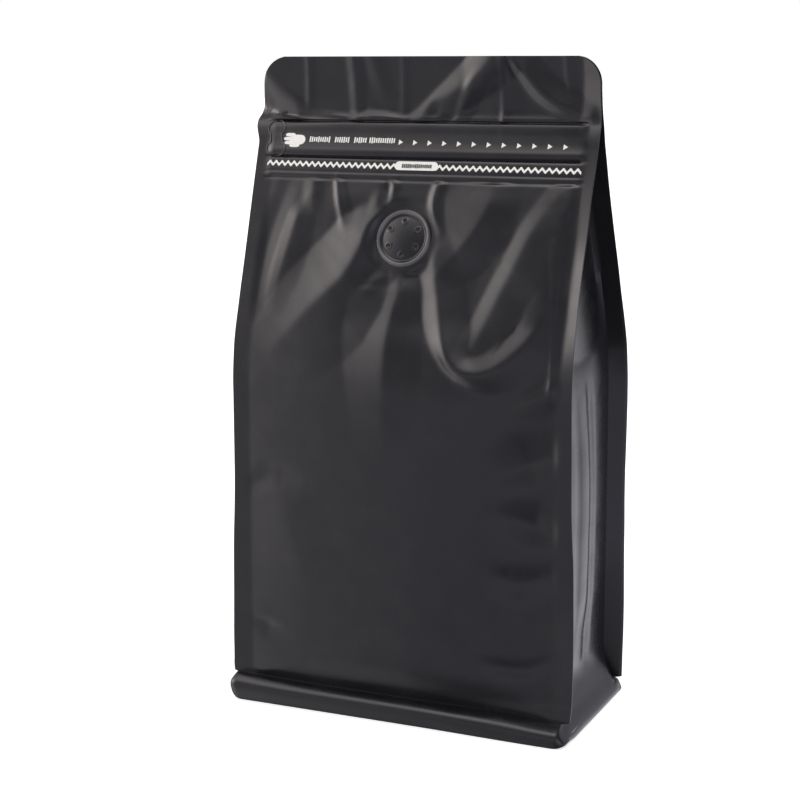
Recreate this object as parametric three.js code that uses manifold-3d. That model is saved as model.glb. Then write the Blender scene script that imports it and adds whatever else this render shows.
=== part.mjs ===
import * as THREE from "three";
import { mergeVertices } from "three/addons/utils/BufferGeometryUtils.js";
import Module from "manifold-3d";

const wasm = await Module();
wasm.setup();
const { Manifold } = wasm;

// Driving sizes, in millimetres. The bag stands on z = 0 and its front faces -Y.
const HEIGHT = 236.3;
const HALF_WIDTH = 65;
const FIN_WIDTH = 7;
const FIN_THICK = 1.2;
const TOP_CORNER_RADIUS = 9.5;
const BASE_CORNER_RADIUS = 4;
const SKIRT_TOP = 8.6;
const SKIRT_WALL = 1.6;
const BASE_RECESS = 3;
const BAND_BOTTOM = 193.6;
const BAND_TOP = 213.5;
const BAND_RISE = 0.6;
const VALVE_X = -1.7;
const VALVE_Z = 173.5;
const VALVE_RADIUS = 10.3;
const VALVE_GAP = 0.3;
const PIN_CIRCLE = 6.1;
const PIN_RADIUS = 0.6;
const FRONT_COLUMNS = 34;
const BACK_COLUMNS = 12;
const SIDE_COLUMNS = 8;
const FILM_COLOUR = 0x34323a;
const VALVE_COLOUR = 0x3a383e;

// Heights of the rows of the film: close where the zipper band and the folds are.
const ROWS = [
  5, 9, 12, 16, 20, 26, 33, 41, 50, 60, 70, 80, 90, 98, 105, 111, 116, 120, 124, 127, 130, 133,
  136, 139, 142, 145, 148, 151, 154, 157, 160, 163, 166, 169, 172, 175, 178, 181, 184, 187, 190,
  192.8, 193.6, 194.5, 196, 199.8, 200.5, 201.2, 202, 203, 204, 208, 212.7, 213.5, 217, 220, 223,
  226, 228.5, 231, 233.5, HEIGHT,
];

// Profiles over the height: the plane of the front fins, of the back fins, and the side creases.
const FRONT_LINE = [
  [0, -34.4], [9, -32.5], [20, -32], [40, -31.9], [118, -31.9], [132, -30.4], [150, -25.4],
  [165, -20.6], [187, -13.9], [208, -7.5], [218, -4.8], [227, -4.5], [HEIGHT, -4.5],
];
const BACK_LINE = [
  [0, 34.4], [9, 34], [50, 33.3], [113, 32.7], [130, 31.2], [142, 27.6], [153.5, 22.5],
  [165, 17.6], [176, 12.1], [187, 7.3], [197, 3.2], [208, -0.7], [216, -2.5], [225, -2.7],
  [HEIGHT, -2.7],
];
const TIP_X = [
  [0, 65], [22, 65], [50, 64.9], [88, 64.4], [112, 64.5], [140, 64.8], [200, 64.9], [214, 64.6],
  [226, 64.2], [HEIGHT, 64.1],
];
const CREASE_X = [
  [0, 61.5], [9, 60.2], [24, 58.4], [36, 59.6], [45, 60.5], [84, 60.8], [104, 59.8], [120, 58.6],
  [130, 56.2], [136, 51], [146, 43], [158, 36], [172, 30.5], [187, 26.9], [204, 25.3], [209, 29],
  [217, 57.2], [HEIGHT, 53.6],
];
const FRONT_BULGE = [
  [0, 0], [9, 0.3], [13, 1.6], [22, 3.2], [45, 4.2], [85, 4.2], [112, 3.2], [130, 1.6], [146, 0.5],
  [160, 0.6], [173, 2.2], [184, 3.2], [192, 2.6], [206, 1.4], [218, 0.5], [HEIGHT, 0.1],
];
const BACK_BULGE = [
  [0, 0], [9, 0.2], [24, 2.6], [50, 3.6], [90, 3.6], [118, 2.2], [140, 0.6], [165, 1.4], [190, 1.2],
  [212, 0.2], [HEIGHT, 0],
];

// How far the right edge of the front leans back.
const RIGHT_LEAN = [
  [0, 1.5], [12, 4], [40, 3.8], [66, 3.2], [98, 2.4], [125, 0.8], [140, 0], [160, -1], [185, -1],
  [205, 0],
];

// Folds of the front film: a line of [x, z, height] with the reach of its left and right slopes.
const FOLDS = [
  { line: [[4.2, 163.7, 1], [9.1, 150.9, 2.4], [11.2, 142, 2.8], [14.8, 134.7, 2.8],
    [22, 129.4, 2.6], [28, 130.4, 2.6], [35.7, 137.4, 2.6], [43, 144.4, 2.4], [50.5, 152.4, 1.6],
    [54.9, 158.3, 0.4]], left: 7, right: 10 },
  { line: [[24.3, 135.3, 0.6], [28.6, 146.2, 2.2], [33, 157.1, 2.6], [37.7, 168.1, 2.6],
    [42.8, 179, 2], [46.7, 184.9, 1.4], [50.4, 188.9, 0.4]], left: 7, right: 6 },
  { line: [[-43, 190.7, 1.4], [-46.1, 182.8, 2], [-50.7, 159.9, 0.6]], left: 5, right: 5 },
  { line: [[-27.7, 191, 1], [-26.7, 178.2, 1.4], [-15.9, 171.4, 1.2]], left: 5, right: 6 },
  { line: [[-6.4, 160.5, 0.8], [-10.4, 150.6, 1.6], [-10.3, 123.1, 1.4], [-9, 105.5, 0.2]],
    left: 9, right: 5 },
  { line: [[8.7, 192.4, 1.2], [8, 184.6, 1.2], [9.7, 163.8, 1]], left: 4, right: 8 },
  { line: [[-6.4, 213.7, 0.5], [0.9, 219.7, 1], [10.9, 226.7, 1], [21.4, 232.7, 0.8],
    [25.4, 235.7, 0.5]], left: 6, right: 5 },
  { line: [[37.3, 236, 0.7], [42.2, 230, 1], [47.6, 223.2, 1], [52.6, 219.3, 0.9],
    [60, 216.9, 0.5]], left: 5, right: 6 },
  { line: [[-27.3, 213.7, 0.3], [-21.5, 217, 0.8], [-8.4, 213.7, 0.3]], left: 4, right: 4 },
];
// Dents of the front film: centre, half sizes and depth.
const DENTS = [
  { x: 21.5, z: 147, rx: 11, rz: 17, deep: 2.4 },
  { x: 46.5, z: 166, rx: 9, rz: 16, deep: 2.2 },
  { x: -35.5, z: 168, rx: 9, rz: 16, deep: 1.4 },
  { x: 26, z: 185, rx: 12, rz: 8, deep: 1.2 },
];

// Value of a table of [z, value] rows at a height, on a smooth curve without overshoot.
function along(rows, z) {
  const last = rows.length - 1;
  if (z <= rows[0][0]) return rows[0][1];
  if (z >= rows[last][0]) return rows[last][1];
  let i = 0;
  while (rows[i + 1][0] < z) i++;
  const slope = (k) => (rows[k + 1][1] - rows[k][1]) / (rows[k + 1][0] - rows[k][0]);
  const tangent = (k) => {
    if (k === 0 || k === last) return slope(Math.min(k, last - 1));
    const [a, b] = [slope(k - 1), slope(k)];
    return a * b <= 0 ? 0 : (2 * a * b) / (a + b);
  };
  const step = rows[i + 1][0] - rows[i][0];
  const t = (z - rows[i][0]) / step;
  const [p, q] = [tangent(i) * step, tangent(i + 1) * step];
  const rise = rows[i + 1][1] - rows[i][1];
  return rows[i][1] + t * (p + t * (3 * rise - 2 * p - q + t * (p + q - 2 * rise)));
}

const ease = (t) => {
  const s = Math.min(1, Math.max(0, t));
  return s * s * (3 - 2 * s);
};

// Height that one fold adds at (x, z): a roof along its line, falling to nothing at its reach.
function foldHeight(fold, x, z) {
  let best = 0;
  for (let i = 0; i + 1 < fold.line.length; i++) {
    const [ax, az, ah] = fold.line[i];
    const [bx, bz, bh] = fold.line[i + 1];
    const [dx, dz] = [bx - ax, bz - az];
    const raw = ((x - ax) * dx + (z - az) * dz) / (dx * dx + dz * dz);
    const t = Math.min(1, Math.max(0, raw));
    const away = Math.hypot(x - ax - t * dx, z - az - t * dz);
    const side = dx * (z - az) - dz * (x - ax) > 0 ? fold.left : fold.right;
    best = Math.max(best, (ah + (bh - ah) * t) * Math.max(0, 1 - away / side));
  }
  return best;
}

function dentDepth(dent, x, z) {
  const away = Math.hypot((x - dent.x) / dent.rx, (z - dent.z) / dent.rz);
  return away < 1 ? dent.deep * (1 - away * away) ** 2 : 0;
}

// Relief of the pocket zipper: a raised band with a rib, a groove and a fine lower rib.
function bandRelief(z) {
  const inside = ease((z - BAND_BOTTOM + 0.8) / 0.8) * ease((BAND_TOP + 0.05 - z) / 0.8);
  const rib = (at, wide, high) => high * Math.max(0, 1 - Math.abs(z - at) / wide);
  return inside * BAND_RISE + rib(203, 1.2, 0.5) + rib(194.5, 1, 0.3) - rib(200.5, 0.8, 0.4);
}

// How far the front film stands out of the plane of its fins, before the valve's flat seat.
function looseRelief(x, z) {
  const share = 1 - Math.min(1, Math.abs(x) / (HALF_WIDTH - FIN_WIDTH)) ** 3;
  const inBand = ease((z - 188) / 6) * ease((222 - z) / 8);
  const folds = FOLDS.reduce((sum, fold) => sum + foldHeight(fold, x, z), 0);
  const dents = DENTS.reduce((sum, dent) => sum + dentDepth(dent, x, z), 0);
  const edge = ease((HALF_WIDTH - FIN_WIDTH - Math.abs(x)) / 5);
  const fade = z > BAND_BOTTOM && z < BAND_TOP ? 1 - inBand : 1;
  return along(FRONT_BULGE, z) * share + (folds - dents) * edge * fade + bandRelief(z) * edge;
}

// The valve's seat: the plane that touches the loose film at the valve's centre.
const SEAT = (() => {
  const y = (x, z) => along(FRONT_LINE, z) - along(FRONT_BULGE, z) * (1 - (Math.abs(x) / 58) ** 3);
  const rise = (y(VALVE_X, VALVE_Z + 6) - y(VALVE_X, VALVE_Z - 6)) / 12;
  return { y: y(VALVE_X, VALVE_Z) - 0.3, rise };
})();

// Plane of the front fins at x, turned back towards the right edge.
const frontLean = (x, z) => along(RIGHT_LEAN, z) * ease((x - 5) / 50);
const frontPlane = (x, z) => along(FRONT_LINE, z) + frontLean(x, z);

function frontY(x, z) {
  const loose = frontPlane(x, z) - looseRelief(x, z);
  const away = Math.hypot(x - VALVE_X, z - VALVE_Z);
  const flat = SEAT.y + SEAT.rise * (z - VALVE_Z);
  return flat + (loose - flat) * ease((away - 12.5) / 6);
}

function backY(x, z) {
  const share = 1 - Math.min(1, Math.abs(x) / (HALF_WIDTH - FIN_WIDTH)) ** 3;
  return along(BACK_LINE, z) + along(BACK_BULGE, z) * share;
}

// Half width of a fin's free edge, with its rounded corners at the base and at the top.
function finTip(z) {
  const above = Math.max(0, z - (HEIGHT - TOP_CORNER_RADIUS));
  const below = Math.max(0, BASE_CORNER_RADIUS - z);
  const top = TOP_CORNER_RADIUS - Math.sqrt(TOP_CORNER_RADIUS ** 2 - above ** 2);
  const base = BASE_CORNER_RADIUS - Math.sqrt(BASE_CORNER_RADIUS ** 2 - below ** 2);
  return along(TIP_X, z) - top - base;
}

const rootX = (z) => Math.min(HALF_WIDTH - FIN_WIDTH, finTip(z) - 1);

// One side of the bag, from its front corner to its back corner; side is 1 for +X, -1 for -X.
function sidePoints(side, z) {
  const [front, back] = [frontPlane(side * rootX(z), z) + 0.3, along(BACK_LINE, z) - 0.3];
  const lap = Math.min(0.8, (back - front) * 0.3);
  const crease = along(CREASE_X, z);
  const middle = (front + back) / 2;
  const points = [];
  for (let i = 0; i <= SIDE_COLUMNS; i++) {
    const t = i / SIDE_COLUMNS;
    const half = 1 - Math.abs(2 * t - 1);
    const start = t <= 0.5 ? front + lap : back - lap;
    points.push([side * (rootX(z) + (crease - rootX(z)) * half), start + (middle - start) * half]);
  }
  return points;
}

// Closed outline of the filled body at one height, anticlockwise from above.
function bodyOutline(z) {
  const root = rootX(z);
  const front = [];
  for (let i = 0; i <= FRONT_COLUMNS; i++) {
    const x = root * ((2 * i) / FRONT_COLUMNS - 1);
    front.push([x, i % FRONT_COLUMNS ? frontY(x, z) : frontPlane(x, z) + 0.3]);
  }
  const back = [];
  for (let i = 0; i <= BACK_COLUMNS; i++) {
    const x = root * (1 - (2 * i) / BACK_COLUMNS);
    back.push([x, i % BACK_COLUMNS ? backY(x, z) : along(BACK_LINE, z) - 0.3]);
  }
  return [...front, ...sidePoints(1, z), ...back, ...sidePoints(-1, z).reverse()];
}

// Triangles that close a ring: a strip between its front run and the rest of it, facing +Z.
function capTriangles(points, frontCount) {
  const count = points.length;
  const triangles = [];
  let [a, b] = [0, count - 1];
  while (a < frontCount - 1 || b > frontCount) {
    const frontNext = a < frontCount - 1 ? points[a + 1][0] : Infinity;
    const restNext = b > frontCount ? points[b - 1][0] : Infinity;
    if (frontNext <= restNext) triangles.push([a, ++a, b]);
    else triangles.push([a, b - 1, b--]);
  }
  return triangles;
}

// Solid between stacked outlines of equal point count, each { z, points }.
function loft(rings, frontCount) {
  const count = rings[0].points.length;
  const position = rings.flatMap(({ z, points }) => points.flatMap(([x, y]) => [x, y, z]));
  const index = [];
  for (let r = 0; r + 1 < rings.length; r++)
    for (let i = 0; i < count; i++) {
      const [a, b] = [r * count + i, r * count + ((i + 1) % count)];
      index.push(a, b, b + count, a, b + count, a + count);
    }
  const top = (rings.length - 1) * count;
  for (const [a, b, c] of capTriangles(rings[0].points, frontCount)) index.push(a, c, b);
  for (const [a, b, c] of capTriangles(rings.at(-1).points, frontCount))
    index.push(top + a, top + b, top + c);
  const geometry = new THREE.BufferGeometry();
  geometry.setAttribute("position", new THREE.Float32BufferAttribute(position, 3));
  geometry.setIndex(index);
  return solid(geometry);
}

function solid(geometry) {
  const bare = geometry.clone();
  bare.deleteAttribute("normal");
  bare.deleteAttribute("uv");
  const merged = mergeVertices(bare, 1e-4);
  return new Manifold(
    new wasm.Mesh({
      numProp: 3,
      vertProperties: merged.attributes.position.array,
      triVerts: new Uint32Array(merged.index.array),
    }),
  );
}

// One sealed fin: a plate from inside the body to its free edge, on the given side and face.
function fin(side, face) {
  const heights = ROWS.filter((z, i) => z >= 16 && z < 228 && i % 2 === 0);
  const rows = [0.8, 1.6, 2.8, 4, 7, 10, 14, ...heights, 228.3, 230, 231.5, 233, 234.2, 235.2, 235.9, 236.2];
  return loft(
    rows.map((z) => {
      const outer = face < 0 ? frontPlane(side * HALF_WIDTH, z) : along(BACK_LINE, z);
      const inner = outer - face * FIN_THICK;
      const [low, high] = [Math.min(outer, inner), Math.max(outer, inner)];
      const [a, b] = [side * 52, side * finTip(z)].sort((p, q) => p - q);
      return { z, points: [[a, low], [b, low], [b, high], [a, high]] };
    }),
    2,
  );
}

function roundedRectangle(halfX, halfY, radius) {
  const points = [];
  const corners = [[-1, -1, 180], [1, -1, -90], [1, 1, 0], [-1, 1, 90]];
  for (const [sx, sy, start] of corners)
    for (let i = 0; i <= 6; i++) {
      const angle = ((start + i * 15) * Math.PI) / 180;
      points.push([
        sx * (halfX - radius) + radius * Math.cos(angle),
        sy * (halfY - radius) + radius * Math.sin(angle),
      ]);
    }
  return points;
}

// The flared skirt round the base, hollow below the bottom panel.
function skirt() {
  const outline = [[0, 65, 34.7, 5], [3, 64.9, 34.4, 5], [6, 63.4, 33.5, 4.5], [SKIRT_TOP, 60.5, 32.8, 4]];
  const ring = ([z, halfX, halfY, radius]) => {
    const points = roundedRectangle(halfX, halfY, radius);
    const leant = ([x, y]) => [x, y + frontLean(x, z) * Math.max(0, -y / halfY)];
    return { z, points: points.map(leant) };
  };
  const recess = [
    [-1, 65.2 - SKIRT_WALL, 34.9 - SKIRT_WALL, 4],
    [BASE_RECESS, 64.9 - SKIRT_WALL, 34.4 - SKIRT_WALL, 4],
  ];
  return loft(outline.map(ring), 14).subtract(loft(recess.map(ring), 14));
}

// Places a solid made about +Z so that +Z points out of the valve's seat.
function onSeat(shape, depth) {
  const lean = (Math.atan(SEAT.rise) * 180) / Math.PI;
  return shape
    .translate([0, 0, depth])
    .rotate([90 - lean, 0, 0])
    .translate([VALVE_X, SEAT.y, VALVE_Z]);
}

function valveSolid() {
  const profile = [
    [0, -0.7], [10.3, -0.7], [10.3, 0.1], [10, 0.5], [9.4, 0.8], [8.9, 0.5], [8.5, 0.15], [0, 0.15],
  ].map(([r, z]) => new THREE.Vector2((r * VALVE_RADIUS) / 10.3, z));
  let disc = solid(new THREE.LatheGeometry(profile, 72).rotateX(Math.PI / 2));
  if (disc.volume() < 0) throw new Error("valve profile is reversed");
  for (let i = 0; i < 6; i++) {
    const angle = ((90 + i * 60) * Math.PI) / 180;
    const pin = Manifold.cylinder(2, PIN_RADIUS, PIN_RADIUS, 12).translate([
      PIN_CIRCLE * Math.cos(angle), PIN_CIRCLE * Math.sin(angle), -0.35,
    ]);
    disc = disc.subtract(pin);
  }
  return onSeat(disc, 0);
}

function bagSolid() {
  const body = loft(ROWS.map((z) => ({ z, points: bodyOutline(z) })), FRONT_COLUMNS + 1);
  const fins = [-1, 1].flatMap((side) => [-1, 1].map((face) => fin(side, face)));
  const pocket = Manifold.cylinder(8, VALVE_RADIUS + VALVE_GAP, VALVE_RADIUS + VALVE_GAP, 72);
  const whole = Manifold.union([body, skirt(), ...fins]);
  return whole.subtract(onSeat(pocket, -0.7 - VALVE_GAP)).simplify(0.004);
}

function mesh(name, shape, colour) {
  const { vertProperties, triVerts, numProp } = shape.getMesh();
  const geometry = new THREE.BufferGeometry();
  const count = vertProperties.length / numProp;
  const position = new Float32Array(count * 3);
  for (let i = 0; i < count; i++) position.set(vertProperties.subarray(i * numProp, i * numProp + 3), i * 3);
  geometry.setAttribute("position", new THREE.BufferAttribute(position, 3));
  geometry.setIndex(new THREE.BufferAttribute(triVerts, 1));
  geometry.computeVertexNormals();
  const made = new THREE.Mesh(geometry, new THREE.MeshStandardMaterial({ color: colour, roughness: 0.4 }));
  made.name = name;
  return made;
}

const bagWithValve = new THREE.Group();
bagWithValve.add(mesh("bag", bagSolid(), FILM_COLOUR));
bagWithValve.add(mesh("valve", valveSolid(), VALVE_COLOUR));

export default bagWithValve;
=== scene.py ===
"""Coffee bag with a degassing valve: a black matt-laminate flat-bottom pouch on its base.

The bag stands on z = 0 and its front faces -Y. Tables hold millimetres, meshes hold metres.
"""

import logging
import math
from collections.abc import Callable, Sequence
from dataclasses import dataclass
from enum import Enum

import bpy
import numpy as np
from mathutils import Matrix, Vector


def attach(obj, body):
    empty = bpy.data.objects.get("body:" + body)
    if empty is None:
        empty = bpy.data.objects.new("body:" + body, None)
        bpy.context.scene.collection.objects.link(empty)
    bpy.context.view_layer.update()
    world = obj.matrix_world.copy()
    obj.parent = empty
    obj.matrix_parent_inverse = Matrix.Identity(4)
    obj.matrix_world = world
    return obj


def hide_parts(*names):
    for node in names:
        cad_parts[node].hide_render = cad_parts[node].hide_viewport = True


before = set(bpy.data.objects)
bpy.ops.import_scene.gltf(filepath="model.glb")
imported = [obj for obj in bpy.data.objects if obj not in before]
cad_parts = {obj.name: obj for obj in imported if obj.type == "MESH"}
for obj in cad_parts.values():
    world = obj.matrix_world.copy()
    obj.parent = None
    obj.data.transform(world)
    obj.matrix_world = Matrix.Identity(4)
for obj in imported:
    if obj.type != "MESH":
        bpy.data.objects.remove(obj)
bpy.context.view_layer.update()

LOG = logging.getLogger("coffee_bag")
MM = 0.001
Table = Sequence[tuple[float, float]]
Faces = list[tuple[int, ...]]

# ---------------------------------------------------------------- sizes of the bag, millimetres
HEIGHT = 236.3
PANEL_HALF = 58.0
FILM_THICK = 0.5
TOP_CORNER_RADIUS = 9.5
SEAM_HEIGHT = 8.4
SEAM_FADE = 20.0
BAND_LOW = 192.2
BAND_HIGH = 214.0
VALVE_X = -1.7
VALVE_Z = 173.5

# Rows of (height, value), or (x, value) for the arch and the seam; both in millimetres.
FRONT_LINE = (
    (0, -31.4), (8.4, -31.4), (12, -31.7), (20, -32), (40, -31.9), (118, -31.9), (132, -30.4), (150, -25.4),
    (165, -20.6), (187, -13.9), (208, -7.5), (218, -4.8), (227, -4.7), (HEIGHT, -5.2),
)
BACK_LINE = (
    (0, 34), (9, 33.6), (50, 33.3), (113, 32.7), (130, 31.2), (142, 27.6), (153.5, 22.5), (165, 17.6),
    (176, 12.1), (187, 7.3), (197, 3.2), (208, -0.7), (216, -2.5), (225, -2.7), (HEIGHT, -2.7),
)
TIP_X = (
    (0, 64), (9, 64.2), (22, 64.9), (36, 65.2), (60, 65.1), (88, 64.5), (112, 64.5), (140, 64.9), (200, 65.1),
    (214, 64.9), (226, 64.2), (HEIGHT, 64.1),
)
RIGHT_FLARE = (
    (0, 1.2), (9, 1.2), (30, 0.8), (60, 0.2), (85, 0), (205, 0), (214, 0.8), (230, 0.8), (HEIGHT, 0.5),
)
LEFT_FLARE = (
    (0, 1.8), (10, 1.9), (12, 1.75), (15, 1.4), (20, 1.05), (26, 0.85), (32, 0.6), (40, 0.45), (56, 0.3),
    (75, 0), (205, 0), (212, 2.1), (217, 3), (224, 1.7), (231, 0.3), (HEIGHT, 0),
)
CREASE_X = (
    (0, 57.6), (8.4, 57.5), (12, 57.6), (16, 57.7), (22, 58.1), (30, 58.6), (36, 59.4), (45, 60.3),
    (84, 60.8), (104, 59.8), (120, 58.6), (130, 56.2), (136, 51), (146, 43), (158, 36), (172, 30.5),
    (187, 26.9), (204, 25.3), (209, 29), (217, 57.2), (HEIGHT, 53.6),
)
FRONT_BULGE = (
    (8.4, 0), (9.6, 0.3), (12, 1.05), (17, 2.75), (19.4, 3.4), (22, 3.65), (32, 3.8), (45, 4.1), (90, 4.4),
    (112, 4.2), (124, 3.4), (136, 2), (148, 0.8), (160, 0.7), (173, 2), (184, 2.6), (192, 2.2), (206, 1.4),
    (218, 0.5), (HEIGHT, 0.1),
)
BELLY_ARCH = (
    (-58, 9.4), (-54.8, 10.2), (-47.4, 14), (-32.4, 19.6), (-14.5, 21.4), (2.6, 20.8), (24.2, 19), (40.8, 17),
    (50.3, 13.4), (58, 10),
)
BELLY_ARCH_TOP = 20.0
BELLY_SETTLED = 60.0
BACK_BULGE = (
    (0, 0), (9, 0.2), (24, 2.6), (50, 3.6), (90, 3.6), (118, 2.2), (140, 0.6), (165, 1.4), (190, 1.2),
    (212, 0.2), (HEIGHT, 0),
)
RIGHT_LEAN = (
    (0, 1.5), (9, 2.6), (14, 3.8), (40, 3.8), (66, 3.2), (98, 2.4), (125, 0.8), (140, 0), (160, -1),
    (185, -1), (205, 0),
)
LEFT_CURL_START = (
    (212, -36), (214.1, -27.5), (215.7, -36.8), (217, -43.4), (218.9, -47.6), (223.5, -55), (229.5, -61.7),
    (HEIGHT, -67),
)
LEFT_CURL_BACK = ((208, 0), (211, 0.2), (213, 0.8), (216.4, 3.9), (220, 4.8), (224, 5), (HEIGHT, 5))
RIGHT_CURL = (
    (0, 0.1), (30, 0.3), (60, -0.4), (90, -0.1), (118, 0), (130, 0.9), (147, 1.7), (165, 1.6), (177, 1),
    (188, 0.9), (205, 0.3), (212, 1.6), (218, 2.2), (232, 2.2), (HEIGHT, 2),
)
RIGHT_CURL_START = (
    (0, 60.6), (120, 58.6), (135, 60), (150, 60.8), (178, 60.9), (190, 60), (208, 59), (216, 58),
    (HEIGHT, 58),
)
BACK_SPLAY = (
    (0, 0.8), (9, 1.4), (30, 2.2), (60, 2.6), (110, 2.6), (140, 2.2), (180, 1), (205, 0.2), (212, 0),
)
BACK_NARROW = (
    (0, 0.4), (9, 0.5), (17, 0.8), (35, 1), (53, 1.15), (71, 0.85), (80, 0.55), (92, 0.25), (110, 0),
)
BAND_RELIEF = (
    (190.5, 0), (192.2, 0.05), (193.2, -0.3), (194.1, 0.3), (194.8, 0.5), (195.5, 0.15), (196.3, 0.35),
    (199.6, 0.4), (200.2, 0.1), (200.7, -0.4), (201.3, 0.3), (202.3, 0.95), (203.1, 1.05), (204.4, 0.75),
    (206.4, 0.4), (209, 0.25), (212, 0.55), (212.8, 0.45), (213.4, -0.35), (214, 0.25), (214.8, 0.4),
    (216.4, 0.05), (218, 0),
)
SKIRT_DEPTH = (
    (0, 34.7), (0.5, 35.2), (5.3, 36.8), (6, 36.6), (6.7, 35.9), (7.3, 34.9), (7.9, 33.5), (8.2, 32.4),
    (8.4, 31.6),
)
SKIRT_LEFT = (
    (0, 64.8), (0.6, 65.6), (2.5, 66.1), (4.6, 66.2), (5.8, 66), (6.6, 65.6), (7.3, 65.2), (7.9, 64.9),
    (8.4, 64.6),
)
SKIRT_RIGHT = ((0, 65), (0.7, 65.5), (1.4, 65.3), (2.6, 64.7), (5, 63.6), (7, 62.8), (8.4, 62.3))
SKIRT_CORNER = ((0, 3.4), (2, 2.8), (4.5, 2.2), (8.4, 1.4))
SKIRT_LEAN = ((0, -0.8), (4, -0.2), (8.4, 1.6))
SEAM_FRONT = ((-65, 10.1), (-50, 9.5), (-33, 9.2), (2, 9), (20, 8.8), (40, 8.6), (57, 7.8), (66, 7.6))
SEAM_BACK = ((-65, 8), (0, 6.8), (65, 4.6))
APRON_X = (
    (0, 65), (0.7, 65.5), (1.4, 65.4), (2.4, 65), (4, 64.2), (6, 63.1), (8, 62), (10, 61), (12, 60),
    (14, 59.1), (16, 58.3), (18, 57.7), (21, 57.2), (26, 56.4),
)


# ---------------------------------------------------------------- small geometry helpers
def along(rows: Table, at: np.ndarray) -> np.ndarray:
    """Reads a table on a smooth curve that never overshoots its rows.

    Args:
        rows: (position, value) pairs in rising order of position.
        at: positions to read.

    Returns:
        The value at each position, held constant beyond both ends.
    """
    table = np.array(rows, float)
    at = np.asarray(at, float)
    x, y = table[:, 0], table[:, 1]
    step = np.diff(x)
    slope = np.diff(y) / step
    before, after = slope[:-1], slope[1:]
    total = np.where(before * after > 0, before + after, 1.0)
    inner = np.where(before * after > 0, 2 * before * after / total, 0.0)
    tangent = np.concatenate([slope[:1], inner, slope[-1:]])
    held = np.clip(at, x[0], x[-1])
    i = np.clip(np.searchsorted(x, held, side="left") - 1, 0, len(step) - 1)
    t = (held - x[i]) / step[i]
    p, q, rise = tangent[i] * step[i], tangent[i + 1] * step[i], y[i + 1] - y[i]
    return y[i] + t * (p + t * (3 * rise - 2 * p - q + t * (p + q - 2 * rise)))


def ease(t: np.ndarray) -> np.ndarray:
    """Smooth step from 0 to 1 as t goes from 0 to 1."""
    s = np.clip(t, 0.0, 1.0)
    return s * s * (3 - 2 * s)


def rightward(x: np.ndarray) -> np.ndarray:
    """How far a place is on its way from the middle to the right edge, from 0 to 1."""
    return ease((x - 5) / 50)


def curve_through(points: Sequence[Sequence[float]], step: float = 1.5) -> np.ndarray:
    """Draws a smooth line through rows whose first two values are its place.

    Args:
        points: rows of (x, z, then values carried along the line).
        step: longest distance between two points of the result, in millimetres.

    Returns:
        Rows of the finer line; the carried values run straight between the given ones.
    """
    given = np.array(points, float)
    padded = np.vstack([2 * given[0] - given[1], given, 2 * given[-1] - given[-2]])
    rows = []
    for a, b, c, d in zip(padded[:-3], padded[1:-2], padded[2:-1], padded[3:]):
        count = max(2, int(np.hypot(*(c - b)[:2]) / step))
        t = (np.arange(count) / count)[:, None]
        piece = b + (c - b) * t
        place = 2 * b + (c - a) * t + (2 * a - 5 * b + 4 * c - d) * t**2
        piece[:, :2] = 0.5 * (place + (3 * b - a - 3 * c + d) * t**3)[:, :2]
        rows.append(piece)
    return np.vstack([*rows, given[-1:]])


def mesh_piece(
    name: str, points: np.ndarray, faces: Faces, edges: Faces | None = None
) -> bpy.types.Object:
    """Makes a scene object from points in millimetres.

    Args:
        name: the piece's name.
        points: (n, 3) array of places in millimetres.
        faces: corner numbers of each face, anticlockwise from outside.
        edges: the two ends of each loose edge, for a line without faces.

    Returns:
        The new object, at the origin, with its place in its mesh.
    """
    mesh = bpy.data.meshes.new(name)
    mesh.from_pydata((np.asarray(points) * MM).tolist(), edges or [], faces)
    mesh.validate()
    return place_object(name, mesh)


def place_object(name: str, data: bpy.types.ID) -> bpy.types.Object:
    """Puts a mesh or a camera into the scene at the origin.

    Args:
        name: the object's name.
        data: the mesh or camera.

    Returns:
        The new object.
    """
    placed = bpy.data.objects.new(name, data)
    bpy.context.scene.collection.objects.link(placed)
    return placed


def smooth(piece: bpy.types.Object, degrees: float) -> None:
    """Shades a piece smooth, with a crisp edge wherever its faces meet above an angle."""
    piece.data.shade_smooth()
    piece.data.set_sharp_from_angle(angle=math.radians(degrees))


def closed_band(lower: int, upper: int, count: int) -> Faces:
    """Joins two closed rows of points, one above the other, by a band of quads.

    Args:
        lower: number of the lower row's first point.
        upper: number of the upper row's first point.
        count: how many points each row has.

    Returns:
        The faces, which point outwards where the rows run anticlockwise seen from above.
    """
    ends = ((i, (i + 1) % count) for i in range(count))
    return [(lower + i, lower + j, upper + j, upper + i) for i, j in ends]


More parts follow.
